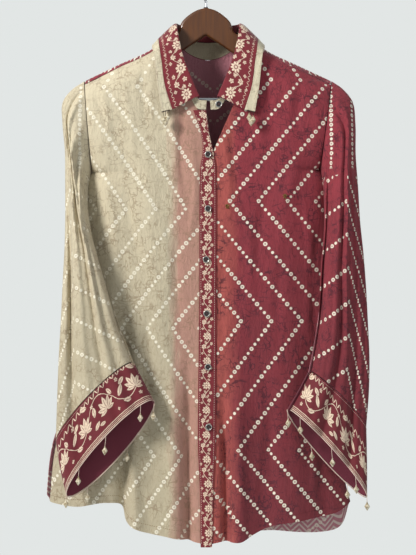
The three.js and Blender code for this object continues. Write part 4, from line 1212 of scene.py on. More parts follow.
@dataclass(frozen=True)
class ClothFinish(Finish):
    """Printed cloth with dot rows: its ground, the shade at the placket, and the ground further down."""

    low: Colour = srgb(186, 175, 149)
    beside: Colour = srgb(181, 137, 122)
    stroke: Colour = srgb(132, 108, 82)
    stroke_share: float = 0.5
    dot: Colour = srgb(238, 232, 214)
    wrong_side: Colour = srgb(120, 70, 76)
    crinkle: float = 1.3
    # How strongly the painted crinkle shade darkens the ground
    crinkle_shade_share: float = 0.3
    dotted: bool = True
    border: bool = False
    CLOUD_SCALE: ClassVar[float] = 16
    BLOTCH_SCALE: ClassVar[float] = 60
    STREAK_SCALE: ClassVar[float] = 150
    PATCH_SCALE: ClassVar[float] = 52
    CURLS: ClassVar[tuple] = (((1.2, 1.0, 0.5), 105), ((0.5, 1.0, 1.2), 88))
    CURL_HALF: ClassVar[float] = 0.022
    LOW_FROM: ClassVar[float] = 0.25
    CORE_SHADE: ClassVar[float] = 0.72
    WRONG_SHARE: ClassVar[float] = 0.8
    RELIEF: ClassVar[tuple[float, float]] = (0.0016, 0.8)

    def material(self, prints: Prints) -> Material:
        """Makes the cloth's material.

        Args:
            prints: the shared shader groups.

        Returns:
            The material.
        """
        material, tree, shader = self.start()
        place = object_place(tree)
        cloud = noise(tree, place, self.CLOUD_SCALE, 4)
        blotch = noise(tree, stretched(tree, place, (1, 1, 0.5)), self.BLOTCH_SCALE, 5)
        height = split_xyz(tree, place)[2]
        down = ((height + self.LOW_FROM) * -2.0 + (cloud - 0.5)).clamp()
        ground = mixed(tree, down, self.colour, self.low)
        shade = Value(tree, attribute(tree, "beside")) + (blotch - 0.5) * 0.5
        streak = noise(tree, stretched(tree, place, (1.0, 1.0, 0.12)), self.STREAK_SCALE, 3)
        ground = mixed(tree, ((shade + (streak - 0.5) * 0.6 - 0.2) * 1.6).clamp(), ground, self.beside)
        curls = []
        for squash, scale in self.CURLS:
            off_line = (noise(tree, stretched(tree, place, squash), scale, 1.5) - 0.5).abs()
            curls.append(off_line.below(self.CURL_HALF, self.CURL_HALF))
        patches = ((noise(tree, place, self.PATCH_SCALE, 2) - 0.4) * 5.0).clamp()
        strokes = curls[0].most(curls[1]) * patches * self.stroke_share
        ground = mixed(tree, strokes, ground, self.stroke)
        weave = prints.weave.placed(tree, Crinkle=self.crinkle)
        # Painted shade: the ground darkens towards the stroke colour along the crinkle lines
        ground = mixed(tree, Value(tree, weave.outputs["Painted crinkle shade"]) * self.crinkle_shade_share, ground, self.stroke)
        outside = Value(tree, attribute(tree, "outside"))
        ground = mixed(tree, outside * -self.WRONG_SHARE + self.WRONG_SHARE, ground, self.wrong_side)
        if self.border:
            ground = self.hem_border(tree, ground)
        if self.dotted:
            metric = attribute(tree, "metric", "Vector")
            dots = prints.dots.placed(tree, Map=uv_map(tree, "print"), Metric=metric)
            core = Value(tree, dots.outputs["Cores"]) * -self.CORE_SHADE + 1.0
            shown = Value(tree, dots.outputs["Dots"]) * core * (outside * 0.35 + 0.6)
            ground = mixed(tree, shown, ground, self.dot)
        tree.links.new(ground, shader.inputs["Base Color"])
        shader.inputs["Sheen Weight"].default_value = 0.05
        shader.inputs["Sheen Roughness"].default_value = 0.4
        rough = blotch * 0.2 + (self.roughness - 0.1)
        tree.links.new(rough.socket, shader.inputs["Roughness"])
        bump(tree, shader, weave.outputs["Height"], *self.RELIEF)
        return material

    def hem_border(self, tree: Tree, ground: Socket) -> Socket:
        """Prints the zigzag stripes above a hem, from the border map in millimetres."""
        along, above = split_xyz(tree, uv_map(tree, "border"))[:2]
        peak = ((along / BORDER_ZIGZAG).fold(1.0) - 0.5).abs() * BORDER_ZIGZAG
        stripe = ((above + peak) / BORDER_PITCH).fold(1.0)
        pale = (stripe - 0.5).abs().below(0.2, 0.08) * above.below(BORDER_HEIGHT, 1.0)
        return mixed(tree, pale * 0.9, ground, srgb(214, 198, 190))


@dataclass(frozen=True)
class StripFinish(Finish):
    """Dark red cloth with cream block-printed flowers."""

    strip: Strip = Strip.PLACKET
    cream: Colour = srgb(224, 204, 180)
    dark: Colour = srgb(92, 18, 28)
    wrong_side: Colour = srgb(98, 24, 44)
    scale: tuple[float, float] = (1.0, 1.0)
    WANDER_SCALE: ClassVar[float] = 240
    WANDER: ClassVar[tuple[float, float]] = (1.6, 1.2)
    BLOTCH_SCALE: ClassVar[float] = 90
    WORN_SCALE: ClassVar[float] = 420
    CRINKLE: ClassVar[float] = 0.6
    RELIEF: ClassVar[tuple[float, float]] = (0.0009, 0.5)

    def material(self, prints: Prints) -> Material:
        """Makes the printed strip's material.

        Args:
            prints: the shared shader groups.

        Returns:
            The material.
        """
        material, tree, shader = self.start()
        place = object_place(tree)
        parts = split_xyz(tree, uv_map(tree, "strip"))
        along, across = (part / size for part, size in zip(parts, self.scale))
        wander = noise(tree, place, self.WANDER_SCALE, 2) - 0.5
        strays = [wander * amount for amount in self.WANDER]
        chart = StripPrint(tree, prints, along + strays[0], across + strays[1])
        mask = chart_strip(chart, self.strip)
        blotch = noise(tree, place, self.BLOTCH_SCALE, 4)
        ground = mixed(tree, (blotch * 2.0 - 0.5).clamp() * 0.7, self.colour, self.dark)
        outside = Value(tree, attribute(tree, "outside"))
        worn = (noise(tree, place, self.WORN_SCALE, 2) * 1.2 + 0.35).clamp()
        ground = mixed(tree, mask * worn, ground, self.cream)
        ground = mixed(tree, 1.0 - outside, ground, self.wrong_side)
        tree.links.new(ground, shader.inputs["Base Color"])
        shader.inputs["Sheen Weight"].default_value = 0.15
        weave = prints.weave.placed(tree, Crinkle=self.CRINKLE)
        bump(tree, shader, weave.outputs["Height"], *self.RELIEF)
        return material


@dataclass(frozen=True)
class WoodFinish(Finish):
    """Varnished brown wood with upright grain and a joint in the middle."""

    dark: Colour = srgb(62, 32, 14)
    GRAIN_SCALE: ClassVar[float] = 260
    BROAD_SCALE: ClassVar[float] = 40
    JOINT_HALF: ClassVar[float] = 0.0003
    RELIEF: ClassVar[tuple[float, float]] = (0.0003, 0.3)

    def material(self) -> Material:
        """Makes the wood's material."""
        material, tree, shader = self.start()
        place = object_place(tree)
        rings = noise(tree, stretched(tree, place, (1.0, 1.0, 0.07)), self.GRAIN_SCALE, 5)
        broad = noise(tree, stretched(tree, place, (1.0, 1.0, 0.2)), self.BROAD_SCALE, 3)
        x = split_xyz(tree, place)[0]
        joint = x.abs().below(self.JOINT_HALF, 0.0004)
        grain = (rings * 1.6 - 0.5 + (broad - 0.5) * 0.8).clamp().most(joint)
        tree.links.new(mixed(tree, grain, self.colour, self.dark), shader.inputs["Base Color"])
        shader.inputs["Coat Weight"].default_value = 0.3
        shader.inputs["Coat Roughness"].default_value = 0.12
        tree.links.new((rings * 0.2 + 0.3).socket, shader.inputs["Roughness"])
        bump(tree, shader, rings, *self.RELIEF)
        return material


@dataclass(frozen=True)
class SmoothFinish(Finish):
    """Metal, resin or bead with fine marks."""

    coat: float = 0.0
    marks: float = 0.1
    other: Colour = srgb(255, 255, 255)
    cloud: float = 0.0
    MARK_SCALE: ClassVar[float] = 700
    CLOUD_SCALE: ClassVar[float] = 260

    def material(self) -> Material:
        """Makes the material."""
        material, tree, shader = self.start()
        place = object_place(tree)
        mark = noise(tree, place, self.MARK_SCALE, 4)
        rough = mark * self.marks + (self.roughness - self.marks / 2)
        tree.links.new(rough.socket, shader.inputs["Roughness"])
        if self.cloud:
            cloud = (noise(tree, place, self.CLOUD_SCALE, 3) * 3.0 - 1.0).clamp() * self.cloud
            tree.links.new(mixed(tree, cloud, self.colour, self.other), shader.inputs["Base Color"])
        shader.inputs["Coat Weight"].default_value = self.coat
        bump(tree, shader, mark, 0.0001, 0.2)
        return material


@dataclass(frozen=True)
class ThreadFinish(Finish):
    """Sewing thread with a fine twist."""

    TWIST_SCALE: ClassVar[float] = 1600
    SHADE: ClassVar[float] = 0.6

    def material(self) -> Material:
        """Makes the material."""
        material, tree, shader = self.start()
        place = object_place(tree)
        twist = noise(tree, place, self.TWIST_SCALE, 1)
        shaded = tuple(self.SHADE * part for part in self.colour[:3]) + (1.0,)
        tone = mixed(tree, (twist - 0.3).clamp(), self.colour, shaded)
        tree.links.new(tone, shader.inputs["Base Color"])
        bump(tree, shader, twist, 0.0002, 0.4)
        return material


class Finishes:
    """Every material of the garment and its hanger."""

    def __init__(self) -> None:
        """Builds the shared groups and the materials."""
        prints = Prints()
        maroon = srgb(144, 48, 60)
        maroon_low = srgb(116, 38, 48)
        purple = srgb(66, 16, 34)
        wine_side = srgb(198, 134, 146)
        tan = ClothFinish("tan cloth", srgb(208, 197, 170), wrong_side=srgb(150, 136, 112))
        self.tan = tan.material(prints)
        plain_side = srgb(190, 178, 150)
        plain = ClothFinish("plain tan cloth", srgb(214, 205, 178), dotted=False, wrong_side=plain_side)
        self.plain_tan = plain.material(prints)
        maroon_look = {
            "low": maroon_low,
            "beside": srgb(168, 80, 74),
            "stroke": purple,
            "stroke_share": 0.75,
            "wrong_side": wine_side,
        }
        self.maroon = ClothFinish("maroon cloth", maroon, **maroon_look).material(prints)
        border = ClothFinish("maroon cloth with a border", maroon, border=True, **maroon_look)
        self.maroon_border = border.material(prints)
        red = srgb(120, 24, 38)
        placket = StripFinish("placket print", red, strip=Strip.PLACKET, scale=(1.12, 1.1))
        self.placket = placket.material(prints)
        collar = StripFinish("collar print", red, strip=Strip.COLLAR, scale=(1.22, 1.25))
        self.collar = collar.material(prints)
        cuff = StripFinish("cuff print", srgb(108, 22, 36), strip=Strip.CUFF, scale=(1.3, 1.2))
        self.cuff = cuff.material(prints)
        self.wood = WoodFinish("varnished wood", srgb(96, 56, 24), 0.5).material()
        self.steel = SmoothFinish("plated steel", srgb(205, 208, 212), 0.18, 1.0).material()
        self.resin = SmoothFinish("dark resin", srgb(44, 38, 38), 0.25, coat=0.5).material()
        self.rim = SmoothFinish("button rim", srgb(196, 196, 192), 0.3, 1.0).material()
        bead = SmoothFinish(
            "pearly bead", srgb(228, 220, 196), 0.3, coat=0.6, other=srgb(128, 106, 64), cloud=0.9
        )
        self.bead = bead.material()
        gold = SmoothFinish("old gold bead", srgb(150, 128, 70), 0.3, 0.7, other=srgb(92, 74, 36), cloud=0.7)
        self.gold = gold.material()
        self.dark_thread = ThreadFinish("dark thread", srgb(58, 40, 34), 0.8).material()
        self.pale_thread = ThreadFinish("pale thread", srgb(214, 190, 176), 0.8).material()
        self.brown_thread = ThreadFinish("brown thread", srgb(122, 92, 62), 0.8).material()
        self.wine_thread = ThreadFinish("wine thread", srgb(94, 30, 38), 0.8).material()


def crowded(step: Array | float, crowding: float) -> Array | float:
    """Row places that stand closer together at the shoulder, where the cloth turns over."""
    return step * (1 - crowding + crowding * step**0.8)


def dressed(piece: Thing, material: Material, slot: str, *nodes: str) -> Thing:
    """Gives a piece its material and the body that it rides on, and hides the nodes that it stands for."""
    if not piece.data.materials:
        piece.data.materials.append(material)
    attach(piece, "root")
    if nodes:
        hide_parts(*nodes)
    log.info("%s: %d faces", piece.name, len(piece.data.polygons))
    return piece


def area_of(piece: Thing) -> float:
    """Area of one side of a thin piece, in square metres."""
    return sum(face.area for face in piece.data.polygons) / 2


class Stitches:
    """Small stitches along paths, made by Geometry Nodes."""

    def __init__(self) -> None:
        """Builds the tree: the path is divided evenly, with a short round stitch at each point."""
        tree = bpy.data.node_groups.new("stitches along a path", "GeometryNodeTree")
        self.tree = tree
        tree.interface.new_socket("Path", in_out="INPUT", socket_type="NodeSocketGeometry")
        self.inputs = {}
        starts = {"Spacing": 0.003, "Stitch length": 0.002, "Stitch radius": 0.0003, "Lean": 0.0}
        for name, start in starts.items():
            socket = tree.interface.new_socket(name, in_out="INPUT", socket_type="NodeSocketFloat")
            socket.default_value = start
            self.inputs[name] = socket.identifier
        finish = tree.interface.new_socket("Finish", in_out="INPUT", socket_type="NodeSocketMaterial")
        self.inputs["Finish"] = finish.identifier
        tree.interface.new_socket("Stitches", in_out="OUTPUT", socket_type="NodeSocketGeometry")
        self.wire(tree)

    def wire(self, tree: Tree) -> None:
        """Adds and links the tree's nodes."""
        way_in = tree.nodes.new("NodeGroupInput")
        way_out = tree.nodes.new("NodeGroupOutput")
        to_curve = tree.nodes.new("GeometryNodeMeshToCurve")
        even = tree.nodes.new("GeometryNodeResampleCurve")
        even.mode = "LENGTH"
        tangent = tree.nodes.new("GeometryNodeInputTangent")
        align = tree.nodes.new("FunctionNodeAlignRotationToVector")
        align.axis = "Z"
        lean = tree.nodes.new("FunctionNodeRotateRotation")
        lean.rotation_space = "LOCAL"
        turn = tree.nodes.new("ShaderNodeCombineXYZ")
        stitch = tree.nodes.new("GeometryNodeMeshUVSphere")
        stitch.inputs["Segments"].default_value = 6
        stitch.inputs["Rings"].default_value = 4
        stitch.inputs["Radius"].default_value = 1.0
        size = tree.nodes.new("ShaderNodeCombineXYZ")
        half = tree.nodes.new("ShaderNodeMath")
        half.operation = "MULTIPLY"
        half.inputs[1].default_value = 0.5
        place = tree.nodes.new("GeometryNodeInstanceOnPoints")
        smooth = tree.nodes.new("GeometryNodeSetShadeSmooth")
        real = tree.nodes.new("GeometryNodeRealizeInstances")
        finish = tree.nodes.new("GeometryNodeSetMaterial")
        for source, output, target, slot in (
            (way_in, "Path", to_curve, 0),
            (to_curve, 0, even, "Curve"),
            (way_in, "Spacing", even, "Length"),
            (tangent, 0, align, "Vector"),
            (align, 0, lean, "Rotation"),
            (way_in, "Lean", turn, "X"),
            (turn, 0, lean, "Rotate By"),
            (way_in, "Stitch length", half, 0),
            (way_in, "Stitch radius", size, "X"),
            (way_in, "Stitch radius", size, "Y"),
            (half, 0, size, "Z"),
            (even, 0, place, "Points"),
            (stitch, "Mesh", place, "Instance"),
            (lean, 0, place, "Rotation"),
            (size, 0, place, "Scale"),
            (place, 0, smooth, "Geometry"),
            (smooth, 0, real, 0),
            (real, 0, finish, "Geometry"),
            (way_in, "Finish", finish, "Material"),
            (finish, 0, way_out, 0),
        ):
            tree.links.new(source.outputs[output], target.inputs[slot])

    def along(self, name: str, paths: Sequence[Array], finish: Material, slot: str, **sizes: float) -> Thing:
        """Sews stitches along paths and bakes them to a plain mesh.

        Args:
            name: the piece's name.
            paths: lists of places, in millimetres.
            finish: the thread's material.
            slot: not used.
            sizes: the tree's inputs by name in millimetres, with _ for a space; lean is in degrees.

        Returns:
            The piece.
        """
        points, edges = [], []
        for path in paths:
            start = len(points)
            points += (np.asarray(path) * MM).tolist()
            edges += [(start + i, start + i + 1) for i in range(len(path) - 1)]
        mesh = bpy.data.meshes.new(name + "_path")
        mesh.from_pydata(points, edges, [])
        carrier = placed_object(name + "_path", mesh)
        modifier = carrier.modifiers.new("stitches", "NODES")
        modifier.node_group = self.tree
        for key, value in sizes.items():
            name_in_tree = key.replace("_", " ").capitalize()
            modifier[self.inputs[name_in_tree]] = math.radians(value) if key == "lean" else value * MM
        modifier[self.inputs["Finish"]] = finish
        bpy.context.view_layer.update()
        baked = bpy.data.meshes.new_from_object(carrier.evaluated_get(bpy.context.evaluated_depsgraph_get()))
        bpy.data.objects.remove(carrier)
        return dressed(placed_object(name, baked), finish, slot)


# The shade beside the placket: the pixel columns where it starts and ends on each front
TAN_SHADE = (160, 186)
MAROON_SHADE = (218, 250)
MAROON_SHADE_SHARE = 0.95

# The back's chevrons, in photo pixels
BACK_APEX_COLUMN = 214
BACK_FIRST_ROW = 86
BACK_PITCH = 33
BACK_SLOPE = 0.8


@dataclass
class Panels:
    """The two fronts and the back."""

    finishes: Finishes
    step: float = 2.6
    back_step: float = 3.3
    tan_width: float = 236
    maroon_width: float = 225
    back_width: float = 470
    front_length: float = 740
    back_length: float = 780
    front_armhole: float = 9 / 26
    back_armhole: float = 9 / 21
    front_crowding: float = 0.7
    back_crowding: float = 0.9
    lip_share: float = 0.0105
    shoulder_share: float = 0.3
    shows: float = 6.0

    def rows(self, crowding: float, length: float, step: float) -> tuple[Array, Callable[[float], float]]:
        """Row places down a panel, and the share of a row place counted in plain steps."""
        count = int(length / step)
        return crowded(np.linspace(0, 1, count), crowding), lambda plain: crowded(plain, crowding)

    def front(
        self, outer: Armhole, side: Table, neckline: Table, hem: Table, placket: Edge, width: float
    ) -> Sheet:
        """A front, from the shoulder seam and neckline to the hem.

        Args:
            outer: its armhole.
            side: its side seam.
            neckline: its neckline.
            hem: its hem.
            placket: its edge below the neckline.
            width: how far across it the columns are counted, in millimetres.
        """
        on_left = outer.top_x < 0
        seam = -SEAM_FORWARD - SEAM_GAP / 2
        rows, share = self.rows(self.front_crowding, self.front_length, self.step)
        armhole = float(share(self.front_armhole))
        start = float(ridge_z(outer.top_x)) + seam
        low = column_edge(side, "x", outer.low_z, hem["z"][0 if on_left else -1])
        edges = [
            spliced((armhole, armhole_edge(outer, start)), (1 - armhole, low)),
            spliced((armhole, table_curve(neckline)), (1 - armhole, placket)),
        ]
        ends = [outer.top_x, neckline["x"][0]]
        if not on_left:
            edges, ends = edges[::-1], ends[::-1]
        columns = np.linspace(0, 1, int(width / self.step))
        flat = patch(shoulder_edge(*ends, seam), table_curve(hem), *edges, columns, rows)
        return Sheet(body_points(flat[..., 0], flat[..., 1], True))

    def front_tan(self) -> Sheet:
        """The tan front, with terracotta beside the placket."""
        placket = column_edge(PLACKET, "left", PLACKET["z"][0], TAN_HEM["z"][-1], TAN_UNDER_PLACKET)
        sheet = self.front(LEFT_ARMHOLE, LEFT_SIDE, LEFT_NECKLINE, TAN_HEM, placket, self.tan_width)
        front_print(sheet, TAN_CHEVRONS)
        start, end = (Photo.x(column) for column in TAN_SHADE)
        sheet.values["beside"] = smoothstep(sheet.places[..., 0], start, end)
        return sheet

    def front_maroon(self) -> Sheet:
        """The maroon front, whose free edge goes under the placket."""
        free = column_edge(MAROON_FREE_EDGE, "x", MAROON_FREE_EDGE["z"][0], MAROON_FREE_EDGE["z"][-1])
        sheet = self.front(RIGHT_ARMHOLE, RIGHT_SIDE, RIGHT_NECKLINE, MAROON_HEM, free, self.maroon_width)
        front_print(sheet, MAROON_CHEVRONS)
        start, end = (Photo.x(column) for column in MAROON_SHADE)
        plain = smoothstep(sheet.places[..., 0], start, end)
        sheet.values["beside"] = (1 - plain) * MAROON_SHADE_SHARE
        return sheet

    def back(self) -> Sheet:
        """The back, over the shoulder line to the front, down to the shoulder seams."""
        seam = SEAM_FORWARD - SEAM_GAP / 2
        rows, share = self.rows(self.back_crowding, self.back_length, self.back_step)
        armhole = self.lip_share + (1 - self.lip_share) * float(share(self.back_armhole))
        side = self.shoulder_share
        top = spliced(
            (side, shoulder_edge(LEFT_ARMHOLE.top_x, BACK_NECKLINE["x"][0], seam)),
            (1 - 2 * side, table_curve(BACK_NECKLINE)),
            (side, shoulder_edge(BACK_NECKLINE["x"][-1], RIGHT_ARMHOLE.top_x, seam)),
        )
        start = [float(ridge_z(hole.top_x)) + seam for hole in (LEFT_ARMHOLE, RIGHT_ARMHOLE)]
        left = spliced(
            (armhole, armhole_edge(LEFT_ARMHOLE, start[0])),
            (1 - armhole, column_edge(LEFT_SIDE, "x", LEFT_ARMHOLE.low_z, BACK_HEM["z"][0])),
        )
        right = spliced(
            (armhole, armhole_edge(RIGHT_ARMHOLE, start[1])),
            (1 - armhole, column_edge(RIGHT_SIDE, "x", RIGHT_ARMHOLE.low_z, BACK_HEM["z"][-1])),
        )
        columns = np.linspace(0, 1, int(self.back_width / self.back_step))
        flat = patch(top, table_curve(BACK_HEM), left, right, columns, rows)
        sheet = Sheet(body_points(flat[..., 0], flat[..., 1], False))
        low = smoothstep(-sheet.places[..., 2], 670, 730) * (1 - smoothstep(-sheet.places[..., 2], 800, 812))
        sheet.places[..., 0] -= self.shows * low * (1 - smoothstep(columns, 0, 0.08))
        self.back_print(sheet)
        return sheet

    def back_print(self, sheet: Sheet) -> None:
        """Nested chevrons that point down the middle of the back, and a border above the hem."""
        column = Photo.pixel_x(sheet.places[..., 0])
        row = Photo.pixel_y(sheet.places[..., 2])
        away = np.abs(column - BACK_APEX_COLUMN)
        lines = (row + BACK_SLOPE * away - BACK_FIRST_ROW) / BACK_PITCH
        sheet.set_print(lines, away * math.hypot(1, BACK_SLOPE) / DOT_STEP)
        sheet.values["beside"] = np.zeros(row.shape)
        down = np.linalg.norm(np.diff(sheet.places, axis=0), axis=-1)
        above = np.zeros(row.shape)
        above[:-1] = np.cumsum(down[::-1], axis=0)[::-1]
        sheet.maps["border"] = np.stack([sheet.places[..., 0], above], axis=-1)

    def build(self) -> dict[str, Sheet]:
        """Builds the three panels.

        Returns:
            Their grids, by name.
        """
        looks = self.finishes
        pieces = {
            "front_tan": (self.front_tan(), looks.tan, "tan_cloth"),
            "front_maroon": (self.front_maroon(), looks.maroon, "maroon_cloth"),
            "back": (self.back(), looks.maroon_border, "maroon_cloth"),
        }
        return covered(pieces)


@dataclass(frozen=True)
class SleevePrint:
    """How a sleeve's chevrons lie, in photo pixels: a gentle arm at the body and a steep one outside."""

    apex_turn: float
    first_row: float
    pitch: float
    gentle: float
    steep: float
    out_sign: int
    cap_line: int
    cap_column: float
    CAP_PITCH: ClassVar[float] = 21.0
    CAP_END: ClassVar[float] = 172.0
    BARE_HALF: ClassVar[float] = 2.4
    FAR: ClassVar[Triple] = (4e5, 0.0, 4e5)

    def lay(self, sheet: Sheet) -> None:
        """Lays the chevrons over the sleeve's grid."""
        places = sheet.wrapped()
        column = Photo.pixel_x(places[..., 0])
        row = Photo.pixel_y(places[..., 2])
        turns = np.linspace(0, 360, places.shape[1])
        nearest = int(np.argmin(np.abs(turns - self.apex_turn)))
        outward = (column - column[:, nearest : nearest + 1]) * self.out_sign
        drop = np.where(outward > 0, outward * self.steep, -outward * self.gentle)
        slope = np.where(outward > 0, self.steep, self.gentle)
        lines = (row - self.first_row - drop) / self.pitch
        cap_lines = self.cap_line - (column - self.cap_column) * self.out_sign / self.CAP_PITCH
        in_cap = row < self.CAP_END
        lines = np.where(in_cap, cap_lines, lines)
        sheet.set_print(lines, np.where(in_cap, row, outward * np.sqrt(1 + slope**2)) / DOT_STEP)
        bare = np.abs(row - self.CAP_END) < self.BARE_HALF
        sheet.values["metric"][bare[:, : sheet.places.shape[1]]] = self.FAR
        sheet.values["beside"] = np.zeros(sheet.places.shape[:2])


@dataclass
class Sleeves:
    """Both sleeves and their cuffs, as rings round the arm."""

    finishes: Finishes
    around: int = 118
    sleeve_rows: int = 176
    cuff_rows: int = 26
    gap_rows: int = 12
    back_share: float = 0.35
    tan_print: SleevePrint = SleevePrint(62, 254, 31.5, 0.5, 3.0, -1, -3, 80)
    maroon_print: SleevePrint = SleevePrint(80, 301, 33, 0.76, 3.4, 1, -4, 331)

    @staticmethod
    def folds(folds: Table, ring: Array, turn: Array) -> Array:
        """How far the sleeve's folds push it out."""
        out = np.zeros(np.broadcast(ring, turn).shape)
        for fold in folds.each():
            share = (ring - fold["top_ring"]) / (fold["end_ring"] - fold["top_ring"])
            line = fold["top_turn"] + (fold["end_turn"] - fold["top_turn"]) * np.clip(share, 0, 1.2)
            grow = smoothstep(share, 0, 0.4)
            out += fold["out"] * grow * np.exp(-(((turn - line) / fold["spread"]) ** 2))
        return out

    def grid(self, rings: Table, folds: Table, rows: int, first_ring: int) -> Array:
        """Places on a sleeve or cuff: turn 0 at the outer point, 90 in front, 180 at the inner point."""
        spans = len(rings.rows) - 1
        share = np.linspace(0, 1, rows)
        outer = smooth_curve(np.stack([rings["out_x"], rings["out_y"], rings["out_z"]], 1), share)[:, None]
        inner = smooth_curve(np.stack([rings["in_x"], rings["in_y"], rings["in_z"]], 1), share)[:, None]
        steps = Table("step half lift", *zip(np.linspace(0, 1, spans + 1), rings["half"], rings["lift"]))
        half = steps.read("step", "half", share)[:, None, None]
        lift = steps.read("step", "lift", share)[:, None, None]
        turn = np.linspace(0, 360, self.around, endpoint=False)[None, :]
        angle = np.radians(turn)[..., None]
        middle = (outer + inner) / 2
        front = np.concatenate([np.zeros_like(half), -np.ones_like(half), lift / half], axis=-1)
        places = middle + (outer - middle) * np.cos(angle) + front * np.sin(angle) * half
        number = (first_ring + share * spans)[:, None]
        push = self.folds(folds, number, turn)
        back = np.broadcast_to(turn > 180, push.shape)
        places[..., 1] -= np.where(back, -push * self.back_share, push)
        return places

    def sleeve(self, rings: Table, folds: Table, chevrons: SleevePrint) -> Sheet:
        """A sleeve, which starts on its armhole a little out from the panels."""
        places = self.grid(rings, folds, self.sleeve_rows, 0)
        outward = math.copysign(ARMHOLE_HALF_GAP, rings["out_x"][0])
        fade = np.clip(1 - np.arange(self.sleeve_rows) / self.gap_rows, 0, 1)[:, None]
        places[..., 0] += outward * fade
        sheet = Sheet(places, closed=True)
        chevrons.lay(sheet)
        return sheet

    def cuff(self, rings: Table, folds: Table) -> Sheet:
        """A cuff, with the map of its printed strip in millimetres."""
        sheet = Sheet(self.grid(rings, folds, self.cuff_rows, LAST_SLEEVE_RING), closed=True)
        places = sheet.wrapped()
        across = np.linalg.norm(np.diff(places, axis=0), axis=-1)
        to_edge = np.zeros(places.shape[:2])
        to_edge[:-1] = np.cumsum(across[::-1], axis=0)[::-1]
        round_edge = np.linalg.norm(np.diff(places[-1], axis=0), axis=-1)
        along = np.concatenate([[0], np.cumsum(round_edge)])
        whole = along[-1] / round(along[-1] / CUFF_REPEAT)
        along = np.broadcast_to(along * CUFF_REPEAT / whole, to_edge.shape)
        sheet.maps["strip"] = np.stack([along, to_edge], axis=-1)
        return sheet

    def build(self) -> dict[str, Sheet]:
        """Builds both sleeves and cuffs.

        Returns:
            Their grids, by name.
        """
        looks = self.finishes
        tan = self.sleeve(TAN_RINGS, TAN_SLEEVE_FOLDS, self.tan_print)
        maroon = self.sleeve(MAROON_RINGS, MAROON_SLEEVE_FOLDS, self.maroon_print)
        pieces = {
            "sleeve_tan": (tan, looks.tan, "tan_cloth"),
            "sleeve_maroon": (maroon, looks.maroon, "maroon_cloth"),
            "cuff_tan": (self.cuff(TAN_CUFF_RINGS, TAN_SLEEVE_FOLDS), looks.cuff, "print_cloth"),
            "cuff_maroon": (self.cuff(MAROON_CUFF_RINGS, MAROON_SLEEVE_FOLDS), looks.cuff, "print_cloth"),
        }
        return covered(pieces)


